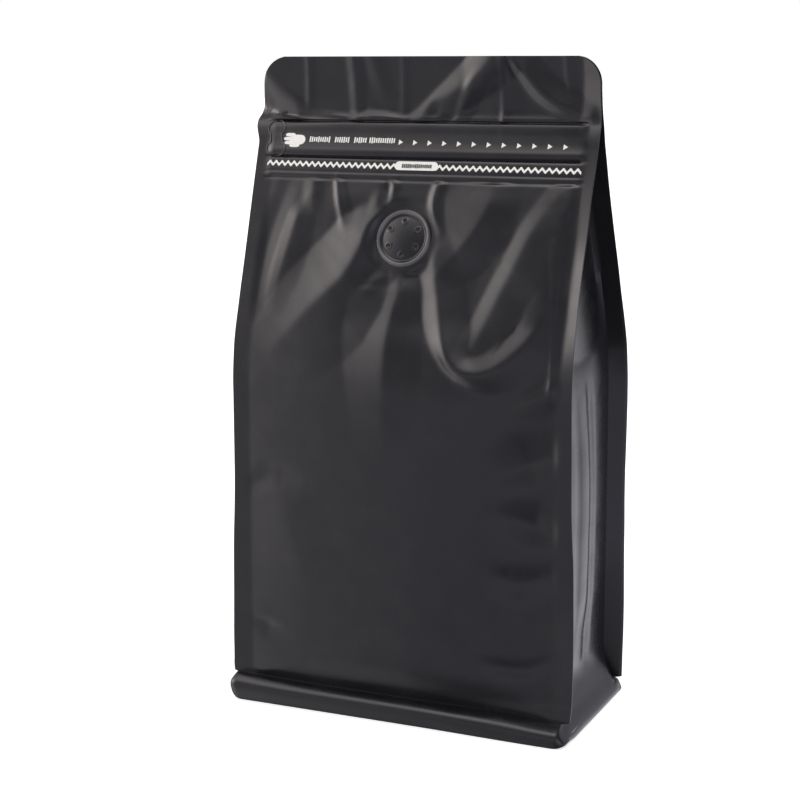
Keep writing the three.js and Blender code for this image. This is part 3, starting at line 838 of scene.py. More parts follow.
@dataclass(frozen=True)
class Pouch:
    """The filled bag: front and back film, folded sides, four sealed fins, skirt and base.

    Attributes:
        film: the front film.
        panel_columns: columns of the mesh across the front and across the back.
        side_columns: columns across one folded side.
        fin_columns: columns across one face of a fin.
        fin_round: how far a fin's rounded edge stands beyond its flat faces, in millimetres.
        pleats: depth in millimetres, place and width as shares of a side, of each soft pleat.
        left_corner: radius of the skirt's corners on the left, in millimetres.
        wall: width of the skirt's bottom edge.
        base_rise: height of the recessed base panel at its rim.
        base_sag: how much lower the middle of that panel hangs.
        slit_depth: depth of the slit between the two films at the top edge.
        slit_end: x at which the slit has closed.
        back_band: share of the band's relief that shows on the back.
        back_band_edge: x at which the band's relief ends on the back.
    """

    film: FrontFilm
    panel_columns: int = 130
    side_columns: int = 28
    fin_columns: int = 6
    fin_round: float = 0.12
    pleats: tuple[tuple[float, float, float], ...] = ((0.9, 0.60, 0.045), (0.5, 0.36, 0.03))
    left_corner: float = 2.8
    wall: float = 0.6
    base_rise: float = 3.2
    base_sag: float = 1.1
    slit_depth: float = 2.6
    slit_end: float = 52.0
    back_band: float = 0.5
    back_band_edge: float = 60.5

    def rows(self) -> np.ndarray:
        """Heights of the mesh rows, close together at the seam, the band and the top edge.

        Returns:
            The heights in millimetres, from the floor up.
        """
        skirt = [0, 0.3, 1, 2.2, 3.4, 4.4, 5.2, 5.9, 6.4, 6.8, 7.1, 7.35, 7.6, 7.8, 8, 8.2]
        seam = [SEAM_HEIGHT, 8.8, 9.4, 10.2, 11.2, 12.4, 13.8]
        lower = np.arange(15.2, 119, 1.9)
        upper = np.arange(120, 192, 1.05)
        band = np.arange(192, 216.1, 0.36)
        head = np.arange(217, 234)
        edge = [233.8, 234.5, 235.1, 235.6, 235.9, 236.15, HEIGHT]
        return np.concatenate([skirt, seam, lower, upper, band, head, edge])

    def tip(self, z: np.ndarray) -> np.ndarray:
        """Half width of the fins' free edges, with the rounded top corners."""
        above = np.clip(z - (HEIGHT - TOP_CORNER_RADIUS), 0, TOP_CORNER_RADIUS)
        return along(TIP_X, z) - TOP_CORNER_RADIUS + np.sqrt(TOP_CORNER_RADIUS**2 - above**2)

    def root(self, z: np.ndarray) -> np.ndarray:
        """Half width at which the fins begin."""
        return np.minimum(PANEL_HALF, self.tip(z) - 1.0)

    def back(self, x: np.ndarray, z: np.ndarray) -> np.ndarray:
        """Depth of the back film, with its own soft folds.

        Args:
            x: places across the back, in millimetres.
            z: heights above the floor, in millimetres.

        Returns:
            The y of the back film at each place, in millimetres.
        """
        share = 1 - np.clip(np.abs(x) / PANEL_HALF, 0, 1) ** 3
        loose = along(BACK_LINE, z) + along(BACK_BULGE, z) * share + self.film.curl(x, z)
        folds = all_folds(BACK_FOLDS, x, z) * ease((PANEL_HALF - np.abs(x)) / 4)
        band = along(BAND_RELIEF, z) * self.back_band * ease((self.back_band_edge - np.abs(x)) / 1.5)
        return loose + folds + band

    def side_run(self, side: Side, z: np.ndarray) -> np.ndarray:
        """Points from the front fin's root round to the back fin's root on one side.

        Args:
            side: which side of the bag.
            z: heights of the rows, in millimetres.

        Returns:
            (rows, columns, 2) array of x and y in millimetres.
        """
        root, crease = self.root(z), along(CREASE_X, z)
        tip = self.tip(z) + along(RIGHT_FLARE if side is Side.RIGHT else LEFT_FLARE, z)
        back_tip = tip - (along(BACK_NARROW, z) if side is Side.RIGHT else 0.0)
        front, front_tip = (self.film.depth(side.value * x, z) for x in (root, tip))
        root_curl, tip_curl = (self.film.curl(side.value * x, z) for x in (root, tip))
        back = along(BACK_LINE, z) + root_curl
        splay = along(BACK_SPLAY, z) + tip_curl - root_curl
        gap = np.clip((back - front) * 0.3, 0.2, FILM_THICK)
        steps = np.arange(1, self.fin_columns + 1) / self.fin_columns
        across = [root + (tip - self.fin_round - root) * t for t in steps]
        outer = [(x, self.film.depth(side.value * x, z)) for x in across]
        columns = outer + [(tip, front_tip + gap * share) for share in (0.25, 0.75)]
        columns += [(x, y + gap) for x, y in outer[::-1]]
        for t in np.arange(self.side_columns + 1) / self.side_columns:
            columns.append(self.gusset(t, z, root, crease, front + gap, back - gap))
        rear = [(root + (back_tip - self.fin_round - root) * t, back + splay * t) for t in steps]
        columns += [(x, y - gap) for x, y in rear]
        columns += [(back_tip, back + splay - gap * share) for share in (0.75, 0.25)]
        columns += rear[::-1]
        return np.stack([np.stack([side.value * x, y], -1) for x, y in columns], 1)

    def gusset(
        self, t: float, z: np.ndarray, root: np.ndarray, crease: np.ndarray, front: np.ndarray, back: np.ndarray
    ) -> tuple[np.ndarray, np.ndarray]:
        """One column of a folded side.

        Args:
            t: share of the way from the front fin to the back fin.
            z: heights of the rows.
            root: half width at the fins' roots.
            crease: half width at the middle crease.
            front: depth where the side leaves the front fin.
            back: depth where it meets the back fin.

        Returns:
            The column's x and y, in millimetres.
        """
        half = 1 - abs(2 * t - 1)
        rounded = half - 0.04 * max(0.0, 1 - (1 - half) / 0.1) ** 2
        full = ease((130 - z) / 20) * ease((z - 10) / 20)
        wave = sum(depth * math.exp(-(((t - place) / width) ** 2)) for depth, place, width in self.pleats)
        return root + (crease - root) * rounded - wave * full, front + (back - front) * t

    def skirt(self, z: np.ndarray, count: int, side: Side) -> np.ndarray:
        """Points of the skirt under one side run, from front to back.

        Args:
            z: heights of the rows.
            count: how many points the side run has.
            side: which side of the bag.

        Returns:
            (rows, count, 2) array of x and y in millimetres.
        """
        deep, wide = along(SKIRT_DEPTH, z), along(SKIRT_RIGHT if side is Side.RIGHT else SKIRT_LEFT, z)
        r = along(SKIRT_CORNER, z) if side is Side.RIGHT else np.full(z.shape, self.left_corner)
        fins = 2 * self.fin_columns + 2
        front = np.linspace(0, 1, fins + 1)[1:]
        folded = np.linspace(1, 2, count - 2 * fins + 1)[1:-1]
        rear = np.linspace(2, 3, fins + 2)[:-1]
        straight = wide - r - PANEL_HALF
        bend = straight / (straight + r * math.pi / 2)
        columns = []
        for place in np.concatenate([front, folded, rear]):
            if 1 < place < 2:
                x, y = wide, (deep - r) * (2 * place - 3)
            else:
                way = min(place, 3 - place)
                angle = np.clip((way - bend) / (1 - bend), 0, 1) * math.pi / 2
                x = PANEL_HALF + straight * np.clip(way / bend, 0, 1) + r * np.sin(angle)
                y = (deep - r * (1 - np.cos(angle))) * (1 if place >= 2 else -1)
            lean = along(SKIRT_LEAN, z) * rightward(side.value * x) * np.clip(-y / deep, 0, 1)
            columns.append(np.stack([side.value * x, y + lean], -1))
        return np.stack(columns, 1)

    def outline(self) -> np.ndarray:
        """Places of the whole skin, row by row and anticlockwise from the front left.

        Returns:
            (rows, columns, 3) array in millimetres.
        """
        z = self.rows()
        body_z = np.maximum(z, SEAM_HEIGHT + 0.2)
        share = np.linspace(-1, 1, self.panel_columns + 1)
        x = self.root(body_z)[:, None] * share[None, :]
        grid = np.broadcast_to(body_z[:, None], x.shape)
        front = np.stack([x, self.film.depth(x, grid)], -1)
        back = np.stack([-x, self.back(-x, grid)], -1)
        right = self.side_run(Side.RIGHT, body_z)
        left = self.side_run(Side.LEFT, body_z)[:, ::-1]
        body = np.concatenate([front, right, back, left], 1)
        count = right.shape[1]
        low = np.clip(z, 0, SEAM_HEIGHT)
        deep = np.broadcast_to(along(SKIRT_DEPTH, low)[:, None], x.shape)
        lean = along(SKIRT_LEAN, low)[:, None] * rightward(x)
        front_foot, back_foot = np.stack([x, lean - deep], -1), np.stack([-x, deep], -1)
        right_foot = self.skirt(low, count, Side.RIGHT)
        left_foot = self.skirt(low, count, Side.LEFT)[:, ::-1]
        foot = np.concatenate([front_foot, right_foot, back_foot, left_foot], 1)
        plan = body + (foot - body) * ease((SEAM_HEIGHT - z) / 0.5)[:, None, None]
        dip = self.seam_dip(plan[0, :, 0], plan[0, :, 1])[None, :]
        near_seam = [0, SEAM_HEIGHT - 0.4, SEAM_HEIGHT + 0.4, SEAM_FADE]
        heights = z[:, None] - dip * np.interp(z, near_seam, [0, 1, 1, 0])[:, None]
        lift = self.corner_lift(plan[0, :, 0], plan[0, :, 1])[None, :]
        heights = heights + lift * np.clip(1 - heights / 6, 0, 1)
        self.flare_apron(plan, heights, len(share), count)
        return np.concatenate([plan, heights[..., None]], -1)

    def flare_apron(self, plan: np.ndarray, heights: np.ndarray, panel: int, run: int) -> None:
        """Flares the foot of both folded sides outward, down to the base seam.

        Args:
            plan: x and y of the whole skin, changed in place.
            heights: heights of the same points.
            panel: how many columns a panel has.
            run: how many columns a side run has.
        """
        fins, folded = 2 * self.fin_columns + 2, self.side_columns + 1
        share = np.linspace(0, 1, folded)
        eased = ease(share / 0.1) * ease((1 - share) / 0.06)
        for first, side in ((panel + fins, 1), (2 * panel + run + fins, -1)):
            part = slice(first, first + folded)
            x = plan[:, part, 0] * side
            plan[:, part, 0] = side * (x + (np.maximum(x, along(APRON_X, heights[:, part])) - x) * eased)

    def seam_dip(self, x: np.ndarray, y: np.ndarray) -> np.ndarray:
        """How far the base seam sinks towards the right, most of all at the back."""
        back = ease((y + 24) / 40)
        return SEAM_HEIGHT - along(SEAM_FRONT, x) * (1 - back) - along(SEAM_BACK, x) * back

    def corner_lift(self, x: np.ndarray, y: np.ndarray) -> np.ndarray:
        """How far the skirt's foot rises from the floor at the two front corners.

        Args:
            x: places across the bag, in millimetres.
            y: places from front to back, in millimetres.

        Returns:
            The lift at each place, in millimetres.
        """
        right = 1.0 * np.clip((x - 60) / 5.5, 0, 1.1) ** 2
        left = 0.6 * np.clip((-x - 61) / 5, 0, 1.1) ** 2
        return (right + left) * ease((-8 - y) / 24)

    def build(self) -> bpy.types.Object:
        """Builds the closed skin of the bag.

        Returns:
            The bag as one piece.
        """
        skin = self.outline()
        rows, count = skin.shape[:2]
        walls = [quad for row in range(rows - 1) for quad in closed_band(row * count, (row + 1) * count, count)]
        base, base_faces = self.base(skin[0], rows * count)
        top, top_faces = self.top(skin[-1], (rows - 1) * count, rows * count + len(base))
        points = np.vstack([skin.reshape(-1, 3), base, top])
        return mesh_piece("pouch_film", points, walls + base_faces + top_faces)

    def base(self, edge: np.ndarray, start: int) -> tuple[np.ndarray, Faces]:
        """Turns the skirt in and closes the recessed base panel to a pole.

        Args:
            edge: the lowest row of the skin.
            start: number of the first new point.

        Returns:
            The new points, and the faces of the underside.
        """
        count = len(edge)
        turned_in = ((self.wall / 34, 0.0), (self.wall / 33, 1.4), (self.wall / 32, self.base_rise))
        plan = [(1 - self.wall / 64, 1 - inset, height) for inset, height in turned_in]
        plan += [(f, f, self.base_rise - self.base_sag * (1 - f * f)) for f in (0.9, 0.7, 0.5, 0.3, 0.12)]
        rings = []
        for across, deep, height in plan:
            rings.append(edge * (across, deep, max(0.0, 1 - height / 3)) + (0.0, 0.0, height))
        pole = start + count * len(rings)
        middle = (0.0, edge[:, 1].mean() * 0.1, self.base_rise - self.base_sag)
        faces: Faces = []
        upper = 0
        for lower in range(start, pole, count):
            faces += closed_band(lower, upper, count)
            upper = lower
        faces += [(upper + (i + 1) % count, upper + i, pole) for i in range(count)]
        return np.vstack([*rings, middle]), faces

    def top(self, edge: np.ndarray, first: int, start: int) -> tuple[np.ndarray, Faces]:
        """Closes the top: solid edges on the fins and a shallow slit between front and back film.

        Args:
            edge: the highest row of the skin.
            first: number of that row's first point.
            start: number of the first new point.

        Returns:
            The new points, and the faces of the top edge.
        """
        n, m, fins = self.panel_columns, self.side_columns, self.fin_columns
        run = 4 * fins + 5 + m
        front = np.arange(n + 1)
        right = n + 1 + np.arange(run)
        back = n + 1 + run + np.arange(n + 1)[::-1]
        left = (2 * n + 2 + run + np.arange(run))[::-1]
        faces: Faces = []
        corners = (
            (front[-1], right, False), (back[-1], right[::-1], True),
            (front[0], left, True), (back[0], left[::-1], False),
        )
        for root, side, flip in corners:
            outer = (first + np.array([root, *side[: fins + 1]])).tolist()
            inner = (first + side[2 * fins + 2 : fins : -1]).tolist()
            quads = list(zip(outer[:-1], outer[1:], inner[1:], inner[:-1]))
            faces += [quad[::-1] for quad in quads] if flip else quads
        t = np.arange(1, m) / m
        near, far = edge[front][1:n, None], edge[back][1:n, None]
        inside = near * (1 - t)[:, None] + far * t[:, None]
        depth = self.slit_depth * ease((self.slit_end - np.abs(inside[..., 0])) / 8)
        inside[..., 2] -= depth * ease(1.55 - 4 * np.abs(t - 0.5))
        grid = np.zeros((n + 1, m + 1), int)
        grid[:, 0], grid[:, m] = first + front, first + back
        folded = slice(2 * fins + 3, 2 * fins + 2 + m)
        grid[n, 1:m], grid[0, 1:m] = first + right[folded], first + left[folded]
        grid[1:n, 1:m] = start + np.arange((n - 1) * (m - 1)).reshape(n - 1, m - 1)
        cells = np.stack([grid[:-1, :-1], grid[1:, :-1], grid[1:, 1:], grid[:-1, 1:]], -1)
        faces += [tuple(cell) for cell in cells.reshape(-1, 4).tolist()]
        return inside.reshape(-1, 3), faces

    def dress(self, piece: bpy.types.Object, film: bpy.types.Material) -> None:
        """Gives the skin its film and its shading."""
        piece.data.materials.append(film)
        smooth(piece, 42)


# ---------------------------------------------------------------- the valve
@dataclass(frozen=True)
class Valve:
    """The one-way valve under the film: a flat disc, its weld ring and six pin holes.

    Attributes:
        film: the front film that carries it.
        ring_inner: inner radius of the weld ring, in millimetres.
        ring_crest: radius of the ring's crest.
        ring_height: how far the ring stands out of the disc.
        foot: radius at which the ring has sunk into the film.
        proud: height of the disc's face above its seat.
        rim_drop: how far the face falls from the ring's crest to its foot.
        dome: how far the disc's middle stands out beyond that.
        back: depth of the disc's back below its seat.
        tab_angle: direction from the centre of the small raised tab at the ring's foot, in radians.
        tab_radius: distance of the tab from the centre.
        tab_height: how far the tab stands out.
        pins: how many pin holes the disc has.
        pin_circle: radius of the circle of pin holes.
        pin_radius: radius of one pin hole.
        pin_depth: depth of one pin hole.
        pin_rim: height of the raised rim round a pin hole.
        steps_around: columns of the mesh round the disc.
    """

    film: FrontFilm
    ring_inner: float = 7.9
    ring_crest: float = 9.55
    ring_height: float = 1.15
    foot: float = 11.0
    proud: float = 0.1
    rim_drop: float = 0.45
    dome: float = 1.0
    back: float = 0.7
    tab_angle: float = 2.85
    tab_radius: float = 11.2
    tab_height: float = 0.55
    pins: int = 6
    pin_circle: float = 6.1
    pin_radius: float = 0.75
    pin_depth: float = 0.45
    pin_rim: float = 0.12
    steps_around: int = 216

    def radii(self) -> np.ndarray:
        """Radii of the mesh rings, close together at the pin holes and the weld ring."""
        parts = ((0.6, 5.0, 9), (5.2, 7.0, 13), (7.2, 8.2, 5), (8.3, 12.6, 30))
        return np.concatenate([np.linspace(*part) for part in parts])

    def relief(self, radius: np.ndarray, angle: np.ndarray) -> np.ndarray:
        """Height of the valve's face above its seat.

        Args:
            radius: distance from the centre, in millimetres.
            angle: direction from the centre, anticlockwise from the bag's right, in radians.

        Returns:
            The height at each place, in millimetres.
        """
        inside = radius < self.ring_crest
        inner = ease((radius - self.ring_inner) / (self.ring_crest - self.ring_inner))
        outer = ease((self.foot - radius) / (self.foot - self.ring_crest))
        disc = self.proud + self.dome * np.clip(1 - (radius / self.ring_inner) ** 2, 0, 1)
        height = np.where(inside, disc, self.proud - self.rim_drop * (1 - outer))
        height = height + np.where(inside, inner, outer) * self.ring_height
        turned = np.angle(np.exp(1j * (angle - self.tab_angle)))
        height = height + self.tab_height * np.exp(-(((radius - self.tab_radius) / 0.7) ** 2) - (turned / 0.45) ** 2)
        for turn in math.pi / 2 + np.arange(self.pins) * 2 * math.pi / self.pins:
            x, y = self.pin_circle * math.cos(turn), self.pin_circle * math.sin(turn)
            away = np.hypot(radius * np.cos(angle) - x, radius * np.sin(angle) - y)
            height = height - self.pin_depth * ease((self.pin_radius - away) / 0.5)
            height = height + self.pin_rim * np.exp(-(((away - self.pin_radius - 0.25) / 0.22) ** 2))
        return height

    def on_seat(self, across: np.ndarray, up: np.ndarray, out: np.ndarray) -> np.ndarray:
        """Places points given about the valve's centre on its leaning seat.

        Args:
            across: distance to the right of the centre, in millimetres.
            up: distance up the seat.
            out: distance out of the seat.

        Returns:
            (n, 3) array of places in millimetres.
        """
        slope = math.atan(self.film.seat_slope)
        y = self.film.seat_depth + up * math.sin(slope) - out * math.cos(slope)
        z = VALVE_Z + up * math.cos(slope) + out * math.sin(slope)
        return np.stack([VALVE_X + across, y, z], -1)

    def build(self) -> bpy.types.Object:
        """Builds the valve as one closed disc.

        Returns:
            The valve's piece.
        """
        n, radii = self.steps_around, self.radii()
        angles = np.arange(n) * 2 * math.pi / n
        r, a = np.meshgrid(radii, angles, indexing="ij")
        face = self.on_seat(r * np.cos(a), r * np.sin(a), self.relief(r, a))
        back = self.on_seat(radii[-1] * np.cos(angles), radii[-1] * np.sin(angles), np.full(n, -self.back))
        poles = self.on_seat(np.zeros(2), np.zeros(2), np.array([self.proud + self.dome, -self.back]))
        rim = len(radii) * n
        front_pole, back_pole = rim + n, rim + n + 1
        faces: Faces = []
        for ring in range(0, rim, n):
            for i in range(n):
                j = (i + 1) % n
                faces.append((ring + i, ring + n + i, ring + n + j, ring + j))
        for i in range(n):
            j = (i + 1) % n
            faces += [(front_pole, i, j), (back_pole, rim + j, rim + i)]
        return mesh_piece("valve_face", np.vstack([face.reshape(-1, 3), back, poles]), faces)

    def dress(self, piece: bpy.types.Object, film: bpy.types.Material) -> None:
        """Gives the valve the film it is welded under."""
        piece.data.materials.append(film)
        smooth(piece, 60)


# ---------------------------------------------------------------- node trees that repeat or sweep
def start_tree(
    name: str, inputs: dict[str, str]
) -> tuple[bpy.types.NodeTree, bpy.types.bpy_prop_collection]:
    """Starts a Geometry Nodes tree that takes a mesh and named values and gives a mesh.

    Args:
        name: the tree's name.
        inputs: kind of each named value: Int, Float or Vector.

    Returns:
        The tree, and the sockets that carry what it is given.
    """
    tree = bpy.data.node_groups.new(name, "GeometryNodeTree")
    for socket, kind in {"Geometry": "Geometry", **inputs}.items():
        tree.interface.new_socket(socket, in_out="INPUT", socket_type=f"NodeSocket{kind}")
    tree.interface.new_socket("Geometry", in_out="OUTPUT", socket_type="NodeSocketGeometry")
    return tree, add_node(tree, "NodeGroupInput").outputs


def finish_tree(tree: bpy.types.NodeTree, made: bpy.types.NodeSocket, material: bpy.types.Material) -> None:
    """Ends a tree in real geometry that carries its material.

    Args:
        tree: the tree to end.
        made: the geometry that it has made.
        material: the material of the result.
    """
    real = add_node(tree, "GeometryNodeRealizeInstances", {"Geometry": made})
    coated = add_node(
        tree, "GeometryNodeSetMaterial", {"Geometry": real.outputs["Geometry"], "Material": material}
    )
    add_node(tree, "NodeGroupOutput", {"Geometry": coated.outputs["Geometry"]})


def run_tree(piece: bpy.types.Object, tree: bpy.types.NodeTree, values: dict[str, object]) -> None:
    """Runs a tree on a piece, whose plain mesh it then is.

    Args:
        piece: the piece that holds the mark or line to start from.
        tree: the tree to run.
        values: value of each named input.
    """
    modifier = piece.modifiers.new(tree.name, "NODES")
    modifier.node_group = tree
    sockets = {s.name: s.identifier for s in tree.interface.items_tree if s.in_out == "INPUT"}
    for name, value in values.items():
        modifier[sockets[name]] = value
    graph = bpy.context.evaluated_depsgraph_get()
    made = bpy.data.meshes.new_from_object(piece.evaluated_get(graph))
    made.name = piece.name
    piece.modifiers.clear()
    piece.data = made


# ---------------------------------------------------------------- printed marks
def slab(
    across: Sequence[float], low: Callable[[float], float], high: Callable[[float], float], rows: int = 1
) -> tuple[np.ndarray, Faces]:
    """Builds a thin closed plate between two curves over x, lying in the plane of the front.

    Args:
        across: x of each column, in millimetres.
        low: height of the lower edge at an x.
        high: height of the upper edge at an x.
        rows: how many cells lie between the two edges.

    Returns:
        Points, whose y is 0 on the face and 1 on the back, and faces.
    """
    points = [
        (x, back, low(x) + (high(x) - low(x)) * k / rows)
        for back in (0.0, 1.0) for x in across for k in range(rows + 1)
    ]
    per, last = rows + 1, len(across) - 1
    layer = len(across) * per
    faces: Faces = []
    for i in range(last):
        for a in range(i * per, i * per + rows):
            b = a + per
            faces += [(a, b, b + 1, a + 1), (layer + a, layer + a + 1, layer + b + 1, layer + b)]
    rim = [i * per for i in range(last)] + [last * per + k for k in range(rows)]
    rim += [i * per + rows for i in range(last, 0, -1)] + list(range(rows, 0, -1))
    faces += [(a, layer + a, layer + b, b) for a, b in zip(rim, rim[1:] + rim[:1])]
    return np.array(points), faces


def ellipse_arc(half: float, span: float, count: int) -> list[float]:
    """Places across a rounded mark, close together at its ends."""
    return [half * math.sin(a) for a in np.linspace(-span, span, count)]


class MarkShape(Enum):
    """Shapes of one printed mark."""

    TOOTH = "tooth"
    ARROW = "arrow"
    STROKE = "stroke"
    BEAD = "bead"


@dataclass(frozen=True)
class PrintFace:
    """Lays flat marks on the film, a hair proud of it, with their backs inside it.

    Attributes:
        film: the front film.
        proud: how far a mark's face stands out of the film, in millimetres.
        sunk: how far its back lies inside the film.
    """

    film: FrontFilm
    proud: float = 0.09
    sunk: float = 0.12

    def lay(self, piece: bpy.types.Object, extra: float = 0.0) -> None:
        """Moves a flat mark's points onto the film.

        Args:
            piece: marks in the plane of the front; y is 0 on a face and 1 mm on a back.
            extra: how much prouder than usual the marks stand, in millimetres.
        """
        mesh = piece.data
        places = np.zeros(len(mesh.vertices) * 3)
        mesh.vertices.foreach_get("co", places)
        places = places.reshape(-1, 3) / MM
        film = self.film.depth(places[:, 0], places[:, 2])
        places[:, 1] = film + np.where(places[:, 1] > 0.5, self.sunk, -self.proud - extra)
        mesh.vertices.foreach_set("co", (places * MM).ravel())
        mesh.update()


@dataclass(frozen=True)
class MarkRow:
    """A row of equal marks across the zipper band, laid out with Geometry Nodes.

    Attributes:
        name: the piece's name.
        shape: the shape of one mark.
        start: x of the first mark, in millimetres.
        height: height of the row above the floor.
        drop: how much lower the last mark sits than the first.
        pitch: distance from mark to mark.
        count: how many marks the row has.
        size: width and height of one mark.
        gaps: numbers of the marks left out.
        spread: how much a mark's height may shrink, as a share.
        seed: seed of that spread.
        vertical: whether the row runs up the bag.
    """

    name: str
    shape: MarkShape
    start: float
    height: float
    drop: float
    pitch: float
    count: int
    size: tuple[float, float]
    gaps: tuple[int, ...] = ()
    spread: float = 0.0
    seed: int = 1
    vertical: bool = False

    def mark(self) -> tuple[np.ndarray, Faces]:
        """Builds one mark about its own centre.

        Returns:
            The mark's points and faces.
        """
        w, h = self.size
        if self.shape is MarkShape.ARROW:
            taper = lambda x: h / 2 * (0.5 - x / w)
            return slab([-w / 2, 0, w / 2 - 0.02], lambda x: -taper(x), taper)
        if self.shape is MarkShape.TOOTH:
            half, stroke = self.pitch / 2, 0.5 * w
            edge = [half * share for share in (-1, -0.55, -0.25, 0, 0.25, 0.55, 1)]
            rise = lambda x: (h - stroke) * (0.5 - float(ease(abs(x) / half)))
            return slab(edge, lambda x: rise(x) - stroke * 0.62, lambda x: rise(x) + stroke * 0.62)
        if self.shape is MarkShape.BEAD:
            bow = lambda x: h / 2 * math.sqrt(max(0.02, 1 - (2 * x / w) ** 2))
            return slab(ellipse_arc(w / 2, 1.35, 7), lambda x: -bow(x), bow)
        return slab([-w / 2, w / 2], lambda x: -h / 2, lambda x: h / 2)

    def tree(self, material: bpy.types.Material) -> bpy.types.NodeTree:
        """Builds the node tree that repeats the mark along its row.

        Args:
            material: the marks' ink or film.

        Returns:
            The finished tree.
        """
        tree, given = start_tree(
            self.name + "_row",
            {"Count": "Int", "Start": "Vector", "Step": "Vector", "Smallest": "Float", "Seed": "Int"},
        )
        line = add_node(
            tree, "GeometryNodeMeshLine",
            {"Count": given["Count"], "Start Location": given["Start"], "Offset": given["Step"]},
        )
        tall = add_node(
            tree, "FunctionNodeRandomValue", {2: given["Smallest"], 3: 1.0, "Seed": given["Seed"]},
            data_type="FLOAT",
        )
        scale = add_node(tree, "ShaderNodeCombineXYZ", {"X": 1.0, "Y": 1.0, "Z": tall.outputs[1]})
        kept: bool | bpy.types.NodeSocket = True
        number = add_node(tree, "GeometryNodeInputIndex").outputs["Index"]
        for gap in self.gaps:
            other = add_node(
                tree, "FunctionNodeCompare", {2: number, 3: gap}, data_type="INT", operation="NOT_EQUAL"
            )
            both = {0: kept, 1: other.outputs["Result"]}
            kept = add_node(tree, "FunctionNodeBooleanMath", both, operation="AND").outputs["Boolean"]
        copies = add_node(
            tree, "GeometryNodeInstanceOnPoints",
            {"Points": line.outputs["Mesh"], "Selection": kept, "Instance": given["Geometry"],
             "Scale": scale.outputs["Vector"]},
        )
        finish_tree(tree, copies.outputs["Instances"], material)
        return tree

    def build(self, print_face: PrintFace, material: bpy.types.Material) -> bpy.types.Object:
        """Builds the row and lays it on the film.

        Args:
            print_face: what carries the marks.
            material: the marks' ink or film.

        Returns:
            The finished piece.
        """
        piece = mesh_piece(self.name, *self.mark())
        level = (self.pitch, 0.0, -self.drop / max(1, self.count - 1))
        step = (0.0, 0.0, self.pitch) if self.vertical else level
        run_tree(piece, self.tree(material), {
            "Count": self.count, "Start": (self.start * MM, 0.0, self.height * MM),
            "Step": tuple(v * MM for v in step), "Smallest": 1.0 - self.spread, "Seed": self.seed,
        })
        print_face.lay(piece)
        return piece


